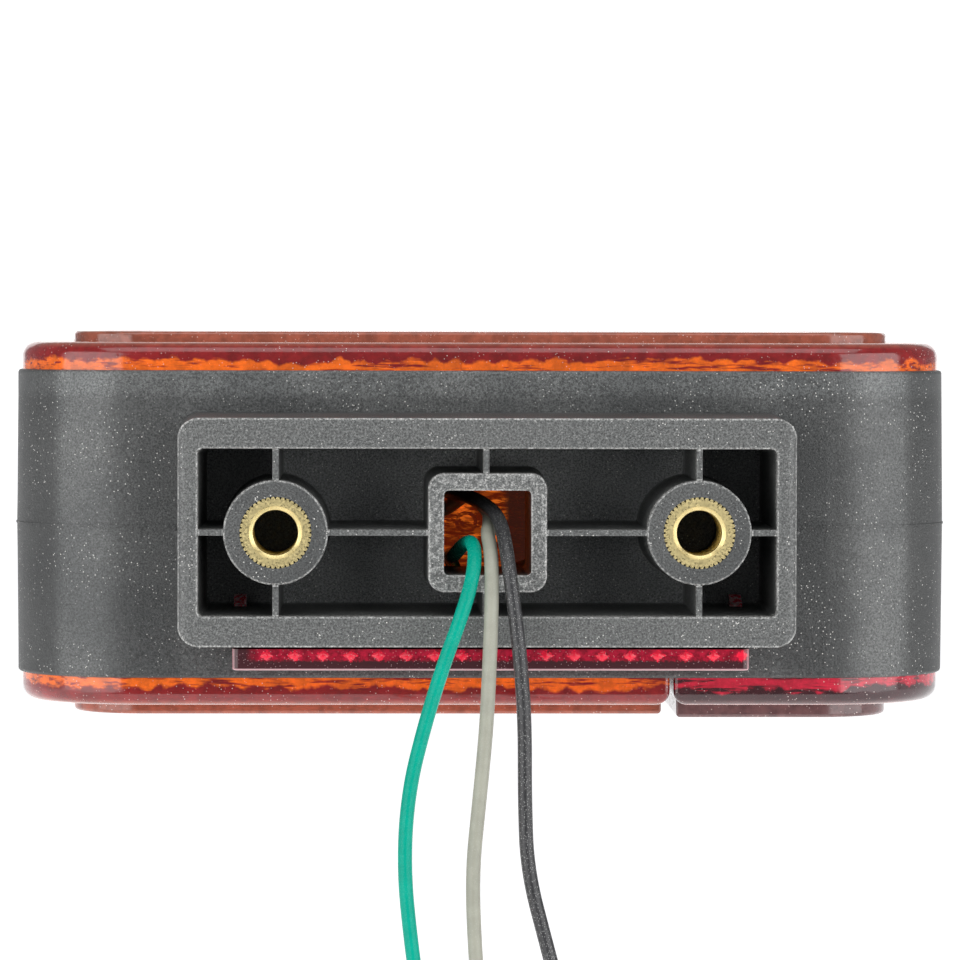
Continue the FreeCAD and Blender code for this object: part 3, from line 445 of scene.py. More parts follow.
        # Painted highlights: thin light lines along the outlines of the rim, pocket, bore, tube and bosses.
        outlines = [shader.outline(x, z, kind[:2], kind[2]) for kind in (self.rim, self.pocket, self.bore)]
        outlines += [off_tube, shader.sums("SUBTRACT", off_boss, self.boss_r)]
        near = shader.size(outlines[0])
        for outline in outlines[1:]:
            near = shader.sums("MINIMUM", near, shader.size(outline))
        painted_edge_highlights = shader.ramp(near, self.edge_highlight_width * 1.6, self.edge_highlight_width * 0.6)
        broken = shader.ramp(shader.noise(self.break_scale, 3.0, 0.8), 0.38, 0.60, 0.15, 0.9)
        return shader.blend(shader.product(painted_edge_highlights, broken, shader.ramp(y, 1.3, 0.9)), tone, self.scuff_and_edge_highlight)


@dataclass(frozen=True)
class PlainPlastic:
    """Smooth plastic or rubber with slight clouding and dust."""

    name: str
    colour: Colour
    roughness: float = 0.4
    cloud: float = 0.25
    gloss: float = 0.5
    dust: float = 0.0
    dust_colour: Colour = (0.7, 0.7, 0.68)
    cloud_scale: float = 300.0
    dust_scale: float = 3400.0
    fine_scale: float = 1800.0
    fine_depth: float = 0.00005

    def make(self) -> bpy.types.Material:
        """Build the material.

        Returns:
            The material.
        """
        shader = Shader(self.name)
        darker = tuple(c * (1.0 - self.cloud) for c in self.colour)
        clouds = shader.ramp(shader.noise(self.cloud_scale, 4.0), 0.35, 0.65)
        tone = shader.blend(clouds, darker, self.colour)
        specks = shader.product(shader.specks(self.dust_scale, 0.30), self.dust)
        shader.drive("Base Color", shader.blend(specks, tone, self.dust_colour))
        fine = shader.noise(self.fine_scale, 2.0)
        shader.drive("Roughness", shader.ramp(fine, 0.3, 0.7, self.roughness * 0.85, self.roughness * 1.2))
        shader.fixed(Specular_IOR_Level=self.gloss)
        shader.relief(fine, self.fine_depth, 0.4)
        return shader.material


@dataclass(frozen=True)
class Acrylic:
    """Clear acrylic coloured right through, darker where light crosses more of it."""

    name: str
    passes: Colour
    density: float
    roughness: float = 0.05
    dust: Colour = (0.80, 0.76, 0.72)

    def make(self) -> bpy.types.Material:
        """Build the material.

        Returns:
            The material.
        """
        shader = Shader(self.name)
        fine = shader.noise(1500.0, 3.0)
        specks = shader.ramp(shader.cells(900.0), 0.10, 0.05)
        patches = shader.ramp(shader.noise(140.0, 3.0), 0.46, 0.60)
        dusty = shader.sums("MULTIPLY", specks, patches)
        shader.drive("Base Color", shader.blend(dusty, (1.0, 1.0, 1.0), self.dust))
        shader.drive("Transmission Weight", shader.ramp(dusty, 0.2, 0.7, 1.0, 0.0))
        shader.drive("Roughness", shader.ramp(fine, 0.45, 0.8, self.roughness, self.roughness * 4))
        shader.fixed(IOR=ACRYLIC_IOR)
        shader.relief(fine, 0.00003, 0.3)
        inside = shader.tree.nodes.new("ShaderNodeVolumeAbsorption")
        inside.inputs["Color"].default_value = (*self.passes, 1.0)
        inside.inputs["Density"].default_value = self.density
        shader.link(inside.outputs["Volume"], shader.output.inputs["Volume"])
        return shader.material


@dataclass(frozen=True)
class BandedLens:
    """Coloured lens plastic with painted light: a painted lit band by the body, painted deeper shade above, a
    painted pale reflection on the upper tier and a painted highlight on the rounded edge.
    """

    name: str
    # Painted light: the lit colour by the body, the deeper shade above it and the pale reflected veil on the
    # upper tier; face is the lens's own colour seen face on.
    painted_light_colour: Colour
    painted_deep_shade: Colour
    painted_veil_reflection: Colour
    face: Colour
    edge: float
    body_top: float = 24.0
    body_bottom: float = 23.45
    tooth: float = 3.7
    painted_veil_from: float = 3.3
    clearness: float = 0.30
    highlight: Colour = (0.62, 0.34, 0.31)
    dust: Colour = (0.85, 0.74, 0.68)
    tooth_reach: float = 0.30
    ragged: tuple[float, float] = (-0.8, 0.5)
    mottled: tuple[float, float] = (0.72, 1.28)
    rounded: tuple[float, float] = (0.88, 0.97)
    level_face: tuple[float, float] = (0.975, 0.995)
    polish: tuple[float, float] = (0.10, 0.30)

    def height(self, shader: Shader) -> bpy.types.NodeSocket:
        """Millimetres above the body's top or below its underside.

        Args:
            shader: The material's tree.

        Returns:
            The height, below nothing inside the body.
        """
        z = shader.axis("Z")
        half_sum = (self.body_top + self.body_bottom) / 2
        half_gap = (self.body_top - self.body_bottom) / 2
        side = shader.sums("SIGN", z, 0.0)
        seat = shader.sums("ADD", shader.sums("MULTIPLY", side, half_gap), half_sum)
        return shader.sums("SUBTRACT", shader.sums("MULTIPLY", shader.size(z), 1 / MM), seat)

    def make(self) -> bpy.types.Material:
        """Build the material.

        Returns:
            The material.
        """
        shader = Shader(self.name)
        height = self.height(shader)
        teeth = shader.sums("PINGPONG", shader.sums("MULTIPLY", shader.axis("X"), 1 / MM), self.tooth / 2)
        uneven = shader.ramp(shader.noise(130.0, 4.0, 0.65), 0.3, 0.7, *self.ragged)
        reach = shader.product(teeth, self.tooth_reach)
        waved = shader.sums("ADD", height, shader.sums("ADD", reach, uneven))
        mottle = shader.ramp(shader.noise(420.0, 5.0, 0.7), 0.3, 0.7, *self.mottled)
        # Painted light: lit streaks by the body, turning to painted deeper shade above the edge height.
        streaks = shader.noise(700.0, 3.0, 0.6, (0.25, 1.0, 2.2))
        glow = shader.blend(shader.ramp(streaks, 0.34, 0.52), self.painted_deep_shade, self.painted_light_colour)
        tone = shader.blend(shader.ramp(waved, self.edge - 0.25, self.edge + 0.35), glow, self.painted_deep_shade)
        # Painted reflection: a pale veil over the upper tier.
        tone = shader.blend(shader.ramp(height, self.painted_veil_from, self.painted_veil_from + 1.1), tone, self.painted_veil_reflection)
        tone = shader.scale_colour(tone, mottle)
        # Painted highlight on the rounded top edge of the tier, then the lens's own colour on level faces.
        tone = shader.blend(shader.level(*self.rounded), tone, self.highlight)
        tone = shader.blend(shader.level(*self.level_face), tone, self.face)
        patches = shader.ramp(shader.noise(140.0, 3.0), 0.40, 0.60, 0.1, 0.9)
        shader.drive("Base Color", shader.blend(
            shader.product(shader.specks(1500.0, 0.16), patches), tone, self.dust))
        fine = shader.noise(1500.0, 3.0)
        shader.drive("Roughness", shader.ramp(fine, 0.4, 0.8, *self.polish))
        shader.fixed(IOR=ACRYLIC_IOR, Transmission_Weight=self.clearness)
        shader.fixed(Coat_Weight=0.3, Coat_IOR=1.6, Coat_Roughness=0.12)
        shader.relief(fine, 0.00003, 0.4)
        return shader.material


@dataclass(frozen=True)
class ReflectorPlastic:
    """Red reflector plastic whose edge shows a row of painted prism glints above a painted dark band of shade,
    with painted pale highlights on its edges and hooks.
    """

    name: str
    clearness: float
    # Painted light: prism is the colour of painted glints in the prism row, shade a painted dark band below
    # it; band and face are the plastic's own colours.
    prism: Colour = (0.85, 0.010, 0.045)
    band: Colour = (0.30, 0.004, 0.022)
    shade: Colour = (0.050, 0.012, 0.016)
    # The rim colour is a painted pale highlight on the bottom edge and the ends, and also the colour of the
    # dust specks.
    rim: Colour = (0.52, 0.30, 0.32)
    face: Colour = (0.70, 0.010, 0.03)
    pitch: float = 4.2
    start: float = -33.1
    row_z: float = -18.55
    half_width: float = 1.08
    half_height: float = 0.88
    shade_z: float = -19.25
    rim_z: float = -20.52
    clear_x: float = -35.4
    front_y: float = 3.2
    middle: float = 0.6
    half_length: float = 38.5
    hook_z: float = -14.0
    # Colour of a painted highlight on the hook tips.
    hook_highlight: Colour = (0.90, 0.55, 0.58)

    def make(self) -> bpy.types.Material:
        """Build the material.

        Returns:
            The material.
        """
        shader = Shader(self.name)
        x, y, z = (shader.sums("MULTIPLY", shader.axis(name), 1 / MM) for name in "XYZ")
        ragged = shader.ramp(shader.noise(1500.0, 4.0, 0.75), 0.3, 0.7, -0.35, 0.35)
        # Painted glints: a row of diamonds in the prism colour.
        along = shader.sums("PINGPONG", shader.sums("SUBTRACT", x, self.start), self.pitch / 2)
        across = shader.size(shader.sums("SUBTRACT", z, self.row_z))
        diamond = shader.sums("ADD", shader.sums("DIVIDE", along, self.half_width),
                              shader.sums("DIVIDE", across, self.half_height))
        lit = shader.ramp(shader.sums("ADD", diamond, ragged), 1.10, 0.85)
        mottle = shader.ramp(shader.noise(900.0, 4.0, 0.7), 0.3, 0.7, 0.5, 1.6)
        tone = shader.scale_colour(self.band, mottle)
        tone = shader.blend(shader.ramp(shader.sums("ADD", z, shader.product(ragged, 0.6)),
                                        self.shade_z + 0.2, self.shade_z - 0.25), tone, self.shade)
        tone = shader.blend(lit, tone, self.prism)
        tone = shader.blend(shader.ramp(x, self.clear_x + 1.2, self.clear_x - 1.0), tone, self.shade)
        # Painted highlights: pale lines along the bottom edge and the two ends.
        tone = shader.blend(shader.ramp(z, self.rim_z + 0.1, self.rim_z - 0.1), tone, self.rim)
        ends = shader.ramp(shader.size(shader.sums("SUBTRACT", x, self.middle)), self.half_length - 0.1,
                           self.half_length + 0.1)
        tone = shader.blend(shader.product(ends, 0.7), tone, self.rim)
        # Deeper than front_y, painted facet light and shade over the face colour.
        front = shader.ramp(y, self.front_y, self.front_y - 0.6)
        cross = shader.sums("PINGPONG", y, self.pitch / 2)
        painted_facet_shading = shader.ramp(shader.sums("ADD", along, cross), 1.4, 2.8, 0.55, 1.15)
        tone = shader.blend(front, shader.scale_colour(self.face, painted_facet_shading), tone)
        # Painted highlight on the hook tips, above hook_z.
        painted_hook_light = shader.blend(shader.ramp(ragged, -0.1, 0.1), self.hook_highlight, self.prism)
        tone = shader.blend(shader.ramp(z, self.hook_z, self.hook_z + 0.5), tone, painted_hook_light)
        dusty = shader.product(shader.specks(2200.0, 0.20), 0.5)
        shader.drive("Base Color", shader.blend(dusty, tone, self.rim))
        shader.fixed(IOR=ACRYLIC_IOR, Roughness=0.15, Transmission_Weight=self.clearness)
        shader.relief(shader.noise(1500.0, 3.0), 0.00003, 0.4)
        return shader.material


@dataclass(frozen=True)
class LinerPlastic:
    """Amber screen with bright broken streaks of painted light, in shadow on one side, glowing with its own
    colour as painted light.
    """

    name: str = "amber_liner"
    painted_light_colour: Colour = (1.0, 0.22, 0.02)
    dark: Colour = (0.13, 0.014, 0.004)
    shadow: Colour = (0.060, 0.016, 0.010)
    # Strength of the painted glow: the screen gives off its own colour as light though it is no lamp.
    glow: float = 0.5
    shadow_x: float = 5.7
    mark: tuple[float, float] = (-0.9, -2.5)
    mark_r: float = 1.5
    mark_line: float = 0.3
    shadow_blur: float = 0.8

    def make(self) -> bpy.types.Material:
        """Build the material.

        Returns:
            The material.
        """
        shader = Shader(self.name)
        x, z = (shader.axis(name) for name in "XZ")
        # Painted light: bright broken streaks over the dark ground.
        streaks = shader.ramp(shader.noise(520.0, 4.0, 0.75, (0.40, 1.0, 1.8)), 0.46, 0.60)
        bricks = shader.ramp(shader.noise(260.0, 2.0, 0.5, (0.8, 1.0, 2.6)), 0.44, 0.56, 0.25, 1.0)
        tone = shader.blend(shader.product(streaks, bricks), self.dark, self.painted_light_colour)
        off = shader.distance(shader.sums("SUBTRACT", x, self.mark[0] * MM),
                              shader.sums("SUBTRACT", z, self.mark[1] * MM))
        ring = shader.sums("COMPARE", off, self.mark_r * MM)
        ring.node.inputs[2].default_value = self.mark_line * MM
        tone = shader.blend(shader.product(ring, 0.4), tone, self.dark)
        low, high = ((self.shadow_x + step) * MM for step in (-self.shadow_blur, self.shadow_blur))
        shade = shader.ramp(x, low, high)
        tone = shader.blend(shade, tone, self.shadow)
        shader.drive("Base Color", tone)
        # Painted light: the screen glows with its own colour.
        shader.drive("Emission Color", tone)
        shader.fixed(Emission_Strength=self.glow, Roughness=0.22)
        shader.relief(streaks, 0.0002, 0.6)
        return shader.material


@dataclass(frozen=True)
class Metal:
    """Bare or plated metal with fine scratches."""

    name: str
    colour: Colour
    roughness: float = 0.28
    tarnish: float = 0.72

    def make(self) -> bpy.types.Material:
        """Build the material.

        Returns:
            The material.
        """
        shader = Shader(self.name)
        tarnish = shader.ramp(shader.noise(500.0, 4.0), 0.35, 0.7)
        darker = tuple(c * self.tarnish for c in self.colour)
        shader.drive("Base Color", shader.blend(tarnish, self.colour, darker))
        fine = shader.noise(3000.0, 3.0, 0.6)
        shader.drive("Roughness", shader.ramp(fine, 0.3, 0.7, self.roughness * 0.7, self.roughness * 1.4))
        shader.fixed(Metallic=1.0)
        shader.relief(fine, 0.00003, 0.4)
        return shader.material


@dataclass(frozen=True)
class Softbox:
    """An area light: degrees round and above the lamp, metres away, size in metres, watts."""

    name: str
    azimuth: float
    elevation: float
    size: tuple[float, float]
    power: float
    distance: float = 1.2


@dataclass
class Studio:
    """Camera, pale floor and soft light."""

    eye: Point = (-21.0, -790.0, 33.0)
    aim: Point = (-1.17, 0.0, 7.93)
    roll: float = 0.12
    focal: float = 198.2
    sensor: float = 36.0
    clip: tuple[float, float] = (0.01, 50.0)
    floor_z: float = -190.0
    floor_half: float = 6.0
    floor_front: float = 0.3
    floor_colour: Colour = (0.86, 0.86, 0.86)
    floor_glow: float = 0.75
    backdrop: tuple[tuple[float, float], ...] = ((0.1, 0.4), (0.3, 0.3), (0.5, 0.15), (4.5, 0.0))
    lamp_centre: Point = (0.0, 0.06, 0.0)
    seen_white: float = 1.1
    ambient: Colour = (0.95, 0.97, 1.0)
    ambient_strength: float = 0.30
    softboxes: tuple[Softbox, ...] = (
        Softbox("left_softbox", -50.0, 6.0, (1.35, 1.1), 11.0),
        Softbox("right_softbox", 50.0, 6.0, (1.35, 1.1), 12.0),
        Softbox("top_softbox", 0.0, 58.0, (1.4, 0.8), 6.5))

    def camera(self) -> None:
        """Set the camera level with the lamp, in front of its mounting face."""
        data = bpy.data.cameras.new("camera")
        data.lens = self.focal
        data.sensor_width = self.sensor
        data.clip_start, data.clip_end = self.clip
        camera = bpy.data.objects.new("camera", data)
        bpy.context.collection.objects.link(camera)
        eye = Vector(self.eye) * MM
        aim = Vector(self.aim) * MM
        camera.location = eye
        camera.rotation_euler = (aim - eye).to_track_quat("-Z", "Y").to_euler()
        camera.rotation_euler.rotate_axis("Z", math.radians(self.roll))
        bpy.context.scene.camera = camera

    def floor(self) -> None:
        """Lay the pale floor under the leads' ends and raise it into a backdrop."""
        bpy.ops.object.select_all(action="DESELECT")
        bpy.ops.mesh.primitive_plane_add(
            size=2 * self.floor_half,
            location=(0, self.floor_half - self.floor_front, self.floor_z * MM))
        floor = bpy.context.object
        floor.name = "floor"
        bpy.ops.object.mode_set(mode="EDIT")
        select(floor, Element.EDGE, lambda item: all(v.co.y > self.floor_half / 2 for v in item.verts))
        for rise, back in self.backdrop:
            bpy.ops.mesh.extrude_region_move(TRANSFORM_OT_translate={"value": (0.0, back, rise)})
        bpy.ops.object.mode_set(mode="OBJECT")
        shader = Shader("floor_white")
        shader.fixed(Base_Color=self.floor_colour, Roughness=0.9)
        shader.fixed(Emission_Color=(1.0, 1.0, 1.0), Emission_Strength=self.floor_glow)
        floor.data.materials.append(shader.material)

    def hang(self, box: Softbox) -> None:
        """Hang an area light that points at the lamp.

        Args:
            box: The light. Its azimuth is nothing on the camera's side, and positive to the right.
        """
        data = bpy.data.lights.new(box.name, "AREA")
        data.shape = "RECTANGLE"
        data.size, data.size_y = box.size
        data.energy = box.power
        lamp = bpy.data.objects.new(box.name, data)
        bpy.context.collection.objects.link(lamp)
        a, e = math.radians(box.azimuth), math.radians(box.elevation)
        way = Vector((math.sin(a) * math.cos(e), -math.cos(a) * math.cos(e), math.sin(e)))
        offset = way * box.distance
        lamp.location = Vector(self.lamp_centre) + offset
        lamp.rotation_euler = (-offset).to_track_quat("-Z", "Y").to_euler()
        lamp.visible_camera = False

    def world(self) -> None:
        """White to the eye, and a softer grey as light."""
        world = bpy.data.worlds.new("studio")
        bpy.context.scene.world = world
        world.use_nodes = True
        tree = world.node_tree
        tree.nodes.clear()
        output = tree.nodes.new("ShaderNodeOutputWorld")
        mixer = tree.nodes.new("ShaderNodeMixShader")
        path = tree.nodes.new("ShaderNodeLightPath")
        seen = tree.nodes.new("ShaderNodeBackground")
        glow = tree.nodes.new("ShaderNodeBackground")
        seen.inputs["Color"].default_value = (1.0, 1.0, 1.0, 1.0)
        seen.inputs["Strength"].default_value = self.seen_white
        glow.inputs["Color"].default_value = (*self.ambient, 1.0)
        glow.inputs["Strength"].default_value = self.ambient_strength
        tree.links.new(path.outputs["Is Camera Ray"], mixer.inputs[0])
        tree.links.new(glow.outputs[0], mixer.inputs[1])
        tree.links.new(seen.outputs[0], mixer.inputs[2])
        tree.links.new(mixer.outputs[0], output.inputs["Surface"])

    def build(self) -> None:
        """Set up the whole studio."""
        bpy.context.scene.view_settings.view_transform = "Standard"
        self.camera()
        self.floor()
        for box in self.softboxes:
            self.hang(box)
        self.world()


@dataclass
class Leads:
    """The three loose leads, on the same routes as their solids."""

    diameter: float = 2.16
    round_steps: int = 6
    route_steps: int = 12
    routes: dict[Lead, tuple[Point, ...]] = field(default_factory=lambda: {
        Lead.BLACK: (
            (-3.7, 24.0, 4.9), (-2.5, 18.8, 4.8), (-0.9, 13.0, 4.3), (0.6, 7.2, 3.4), (1.8, 1.6, 2.0),
            (2.5, -3.2, -1.1), (3.1, -6.0, -5.6), (3.9, -7.0, -11.6), (4.8, -7.2, -19.4), (5.4, -7.2, -28.4),
            (5.4, -7.2, -39.2), (5.8, -7.2, -50.0), (8.8, -7.3, -61.4), (12.4, -7.4, -75.0),
            (13.6, -7.2, -91.0), (11.8, -6.9, -110.0), (9.6, -7.1, -131.0), (9.0, -7.4, -152.0),
            (10.2, -7.6, -168.0)),
        Lead.GREY: (
            (-1.5, 24.0, 4.2), (-0.4, 18.8, 3.6), (0.6, 13.2, 2.45), (0.5, 7.6, 1.2), (0.0, 2.0, -0.1),
            (0.4, -2.8, -2.5), (0.5, -5.6, -6.6), (0.4, -6.8, -12.4), (0.1, -7.1, -19.8), (-0.3, -7.1, -28.6),
            (-1.3, -7.1, -39.2), (-2.4, -7.2, -50.0), (-2.0, -7.4, -61.4), (-0.9, -7.5, -75.0),
            (-1.0, -7.2, -91.0), (-2.4, -7.0, -110.0), (-2.9, -7.2, -131.0), (-1.8, -7.5, -152.0),
            (-1.0, -7.7, -166.0)),
        Lead.GREEN: (
            (-5.0, 24.0, -4.6), (-4.8, 18.8, -4.4), (-4.3, 13.4, -3.4), (-3.4, 8.0, -2.0), (-2.4, 2.6, -1.3),
            (-1.9, -2.4, -2.6), (-2.3, -5.4, -6.4), (-4.0, -6.7, -12.0), (-6.6, -7.0, -19.0),
            (-9.3, -7.0, -27.6), (-11.9, -7.0, -38.0), (-12.6, -7.1, -49.4), (-11.4, -7.3, -61.4),
            (-9.4, -7.4, -75.0),
            (-10.0, -7.1, -91.0), (-12.6, -6.9, -110.0), (-13.4, -7.2, -131.0), (-11.9, -7.5, -152.0),
            (-11.2, -7.7, -167.0)),
    })
    lengths: dict[Lead, float] = field(default_factory=lambda: {
        Lead.BLACK: 0.198, Lead.GREY: 0.193, Lead.GREEN: 0.194})
    exits: dict[Lead, Point] = field(default_factory=lambda: {
        Lead.BLACK: (2.0, 0.0, 1.4), Lead.GREY: (0.1, 0.0, -0.9), Lead.GREEN: (-2.2, 0.0, -1.6)})

    def lay(self, lead: Lead, finish: bpy.types.Material) -> bpy.types.Object:
        """Lay one lead along its route.

        Args:
            lead: Which lead.
            finish: Its insulation.

        Returns:
            The lead's curve.
        """
        name = f"{lead.value}_lead"
        data = bpy.data.curves.new(name, "CURVE")
        data.dimensions = "3D"
        data.bevel_depth = self.diameter / 2 * MM
        data.bevel_resolution = self.round_steps
        data.resolution_u = self.route_steps
        data.use_fill_caps = True
        spline = data.splines.new("NURBS")
        route = self.routes[lead]
        spline.points.add(len(route) - 1)
        for point, place in zip(spline.points, route):
            point.co = (*(Vector(place) * MM), 1.0)
        spline.order_u = 3
        spline.use_endpoint_u = True
        piece = bpy.data.objects.new(name, data)
        bpy.context.collection.objects.link(piece)
        data.materials.append(finish)
        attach(piece, "root")
        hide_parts(f"lead_{lead.value}")
        return piece


@dataclass
class Inserts:
    """The two knurled brass inserts with threaded bores."""

    across: float = 31.75
    outer: float = 5.37
    teeth: int = 44
    tooth_depth: float = 0.42
    land: float = 4.0
    mouth: float = 3.42
    mouth_depth: float = 0.45
    bore: float = 3.33
    root: float = 3.58
    pitch: float = 0.9
    turns: int = 13
    length: float = 12.7
    chamfer: float = 0.12
    points_per_tooth: int = 4
    end_reach: float = 0.5
    smooth_angle: float = 32.0

    def ring(self, piece: bpy.types.Object, radius: float) -> None:
        """Give the selected loop an exact radius about the insert's axis.

        Args:
            piece: The insert, in edit mode.
            radius: The radius in millimetres.
        """
        mesh = bmesh.from_edit_mesh(piece.data)
        now = [v.co.xy.length for v in mesh.verts if v.select]
        scale = radius / (sum(now) / len(now))
        bpy.ops.transform.resize(value=(scale, scale, 1.0), center_override=(0.0, 0.0, 0.0))

    def step(self, piece: bpy.types.Object, down: float, radius: float) -> None:
        """Extrude the selected face along the axis and set its new radius."""
        bpy.ops.mesh.extrude_region_move(TRANSFORM_OT_translate={"value": (0.0, 0.0, -down)})
        self.ring(piece, radius)

    def model(self) -> bpy.types.Object:
        """Model one insert about the vertical axis, in millimetres.

        Returns:
            The insert, its mouth up.
        """
        bpy.ops.object.select_all(action="DESELECT")
        count = self.points_per_tooth * self.teeth
        bpy.ops.mesh.primitive_cylinder_add(vertices=count, radius=self.outer, depth=self.length)
        piece = bpy.context.object
        bpy.ops.object.mode_set(mode="EDIT")
        turn = 2 * math.pi / count
        select(piece, Element.VERT,
               lambda v: round(math.atan2(v.co.y, v.co.x) / turn) % self.points_per_tooth == 0)
        groove = 1.0 - self.tooth_depth / self.outer
        bpy.ops.transform.resize(value=(groove, groove, 1.0), center_override=(0.0, 0.0, 0.0))
        half = self.length / 2
        for side in (-1.0, 1.0):
            select(piece, Element.FACE, lambda f, s=side: (
                len(f.verts) > 4 and f.calc_center_median().z * s > half - self.end_reach))
            bpy.ops.mesh.extrude_region_move(TRANSFORM_OT_translate={"value": (0.0, 0.0, 0.0)})
            bpy.ops.transform.tosphere(value=1.0)
            self.ring(piece, self.land)
        self.step(piece, self.chamfer, self.land - self.chamfer)
        self.step(piece, self.mouth_depth - self.chamfer, self.mouth)
        for _ in range(self.turns):
            self.step(piece, self.pitch / 2, self.bore)
            self.step(piece, self.pitch / 2, self.root)
        self.open_bore(piece)
        return piece

    def open_bore(self, piece: bpy.types.Object) -> None:
        """Take out the two end faces and bridge the bore to the far end.

        Args:
            piece: The insert, in edit mode.
        """
        select(piece, Element.FACE, lambda f: len(f.verts) > 4)
        bpy.ops.mesh.delete(type="ONLY_FACE")
        select(piece, Element.EDGE, lambda e: e.is_boundary)
        bpy.ops.mesh.bridge_edge_loops()
        bpy.ops.mesh.select_all(action="SELECT")
        bpy.ops.mesh.normals_make_consistent(inside=False)
        bpy.ops.object.mode_set(mode="OBJECT")

    def fit(self, finish: bpy.types.Material) -> list[bpy.types.Object]:
        """Model the insert, copy it and set both in their bosses.

        Args:
            finish: The brass.

        Returns:
            Both inserts.
        """
        first = self.model()
        first.data.materials.append(finish)
        second = first.copy()
        second.data = first.data.copy()
        bpy.context.collection.objects.link(second)
        for piece, side, name in ((first, -1, "left"), (second, 1, "right")):
            piece.name = f"threaded_insert_{name}"
            piece.rotation_euler = (math.pi / 2, 0.0, 0.0)
            piece.scale = (MM, MM, MM)
            piece.location = (side * self.across * MM, self.length / 2 * MM, 0.0)
            settle(piece, self.smooth_angle)
            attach(piece, "root")
            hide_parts(f"insert_{name}")
        return [first, second]


@dataclass
class ReflectorPrisms:
    """The row of low prisms along the near edge of the reflector."""

    count: int = 17
    first_x: float = -33.1
    pitch: float = 4.2
    height_z: float = -18.55
    wall_y: float = 2.0
    half_width: float = 1.08
    half_height: float = 0.88
    rise: float = 0.22
    sunk: float = 0.10
    soften: float = 0.06
    smooth_angle: float = 20.0

    def model(self) -> bpy.types.Object:
        """Model one prism, its tip up, in millimetres.

        Returns:
            The prism.
        """
        bpy.ops.object.select_all(action="DESELECT")
        bpy.ops.mesh.primitive_cone_add(vertices=4, radius1=1.0, radius2=0.0, depth=self.rise)
        piece = bpy.context.object
        bpy.ops.object.mode_set(mode="EDIT")
        select(piece, Element.FACE, lambda face: len(face.verts) == 4)
        bpy.ops.mesh.extrude_region_move(TRANSFORM_OT_translate={"value": (0.0, 0.0, -self.sunk)})
        bpy.ops.mesh.select_all(action="SELECT")
        bpy.ops.transform.resize(
            value=(self.half_width, self.half_height, 1.0), center_override=(0.0, 0.0, 0.0))
        select(piece, Element.EDGE, lambda edge: all(vert.co.z > -self.rise / 2 - 0.01 for vert in edge.verts))
        bpy.ops.mesh.bevel(offset=self.soften, segments=2, affect="EDGES")
        bpy.ops.mesh.select_all(action="SELECT")
        bpy.ops.mesh.normals_make_consistent(inside=False)
        bpy.ops.object.mode_set(mode="OBJECT")
        return piece

    def fit(self, finish: bpy.types.Material) -> bpy.types.Object:
        """Model a prism, copy it along the row and join the row.

        Args:
            finish: The reflector's plastic.

        Returns:
            The row.
        """
        first = self.model()
        first.data.materials.append(finish)
        row = [first]
        for _ in range(self.count - 1):
            copy = first.copy()
            copy.data = first.data.copy()
            bpy.context.collection.objects.link(copy)
            row.append(copy)
        for index, piece in enumerate(row):
            piece.rotation_euler = (math.pi / 2, 0.0, 0.0)
            piece.scale = (MM, MM, MM)
            across = self.first_x + index * self.pitch
            piece.location = Vector((across, self.wall_y - self.rise / 2, self.height_z)) * MM
        bpy.ops.object.select_all(action="DESELECT")
        for piece in row:
            piece.select_set(True)
        bpy.context.view_layer.objects.active = first
        bpy.ops.object.join()
        first.name = "reflector_prism_row"
        settle(first, self.smooth_angle)
        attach(first, "root")
        return first


def settle(piece: bpy.types.Object, angle: float) -> None:
    """Apply a piece's place to its mesh and shade it smooth below an angle in degrees.

    Args:
        piece: The piece.
        angle: Edges turning by less than this many degrees are smoothed.
    """
    bpy.ops.object.select_all(action="DESELECT")
    piece.select_set(True)
    bpy.context.view_layer.objects.active = piece
    bpy.ops.object.transform_apply(location=True, rotation=True, scale=True)
    bpy.ops.object.shade_smooth_by_angle(angle=math.radians(angle))


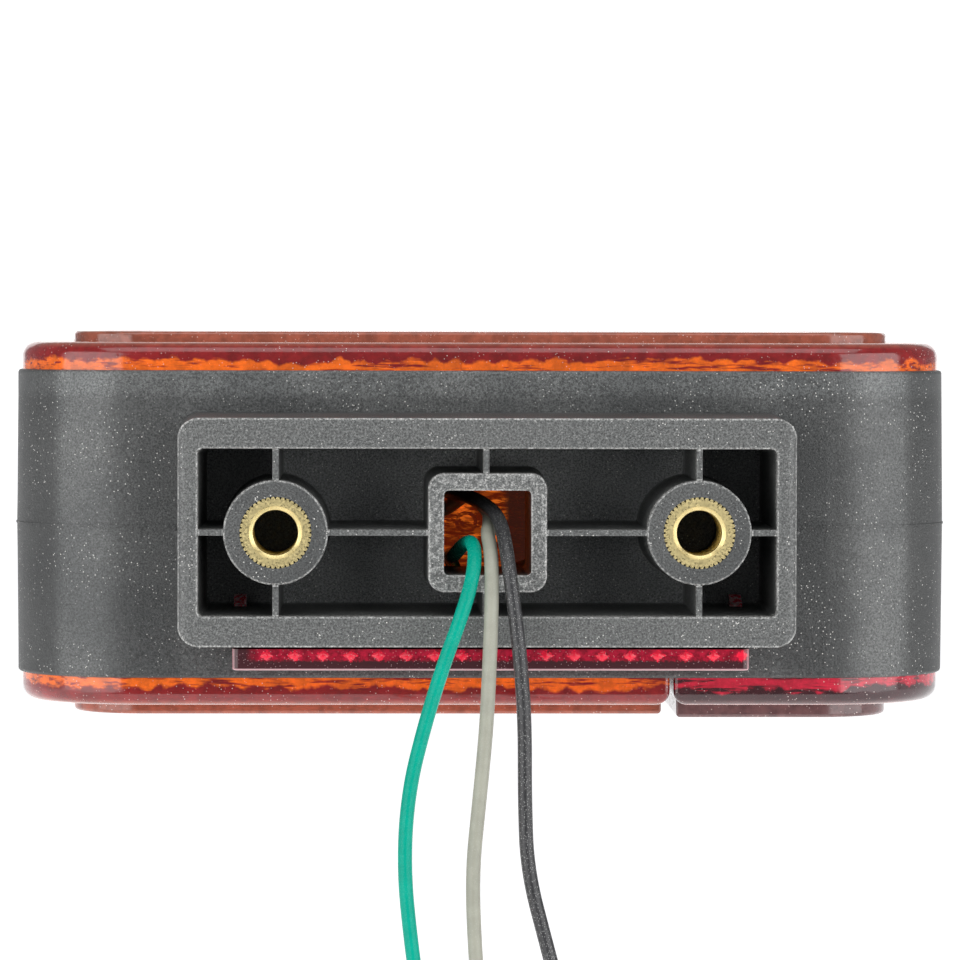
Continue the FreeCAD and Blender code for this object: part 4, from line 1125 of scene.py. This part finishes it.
def finishes() -> dict[str, bpy.types.Material]:
    """Make one material for each material slot of the record.

    Returns:
        Material by slot name.
    """
    kinds = [
        MouldedPlastic(),
        Metal("brass", (0.76, 0.63, 0.31), 0.36, 0.86),
        BandedLens("amber_lens", (1.0, 0.17, 0.008), (0.25, 0.010, 0.011), (0.36, 0.105, 0.062),
                   (1.0, 0.24, 0.02), 1.55),
        BandedLens("red_lens", (0.62, 0.018, 0.050), (0.050, 0.010, 0.014), (0.17, 0.090, 0.090),
                   (0.62, 0.012, 0.03), 1.8),
        PlainPlastic("gasket_rubber", (0.03, 0.03, 0.03), 0.6),
        Metal("screw_steel", (0.62, 0.62, 0.60), 0.3),
        ReflectorPlastic("red_reflector", 0.15),
        ReflectorPlastic("red_back", 0.0),
        LinerPlastic(),
        PlainPlastic("white_plastic", (0.80, 0.80, 0.78), 0.4),
        Metal("tinned_terminal", (0.72, 0.72, 0.70), 0.3),
        PlainPlastic("black_insulation", (0.024, 0.024, 0.026), 0.34, 0.25, 0.5, 0.30),
        PlainPlastic("grey_insulation", (0.310, 0.312, 0.258), 0.36, 0.12, 0.3, 0.08),
        PlainPlastic("green_insulation", (0.0, 0.31, 0.22), 0.25, 0.10, 0.14, 0.03),
        Metal("copper_strand", (0.75, 0.36, 0.20), 0.3),
        Metal("zinc_sheet", (0.60, 0.61, 0.60), 0.35),
        PlainPlastic("insulator_board", (0.16, 0.07, 0.03), 0.5),
        Metal("bulb_cap", (0.72, 0.60, 0.34), 0.3),
        Metal("solder", (0.55, 0.55, 0.53), 0.4),
        Acrylic("bulb_glass", (0.98, 0.99, 0.99), 10.0, 0.01),
        Metal("filament", (0.35, 0.35, 0.36), 0.4),
    ]
    return {kind.name: kind.make() for kind in kinds}


def dress_frame(materials: dict[str, bpy.types.Material]) -> None:
    """Give every node of the frame its slot's finish.

    Args:
        materials: Material by slot name.
    """
    for subpart in frame["record"]["subparts"]:
        node = frame["nodes"][subpart["node"]]
        node.data.materials.clear()
        node.data.materials.append(materials[subpart["material_slot"]])
        log.info("dressed %s", subpart["node"])


def main() -> None:
    """Build the lamp's looks in order."""
    logging.basicConfig(level=logging.INFO, format="%(message)s")
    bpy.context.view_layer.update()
    Studio().build()
    materials = finishes()
    leads = Leads()
    for lead in Lead:
        leads.lay(lead, materials[f"{lead.value}_insulation"])
        log.info("laid the %s lead", lead.value)
    dress_frame(materials)
    for piece in Inserts().fit(materials["brass"]):
        log.info("set %s", piece.name)
    log.info("set %s", ReflectorPrisms().fit(materials["red_reflector"]).name)


if __name__ == "__main__":
    main()
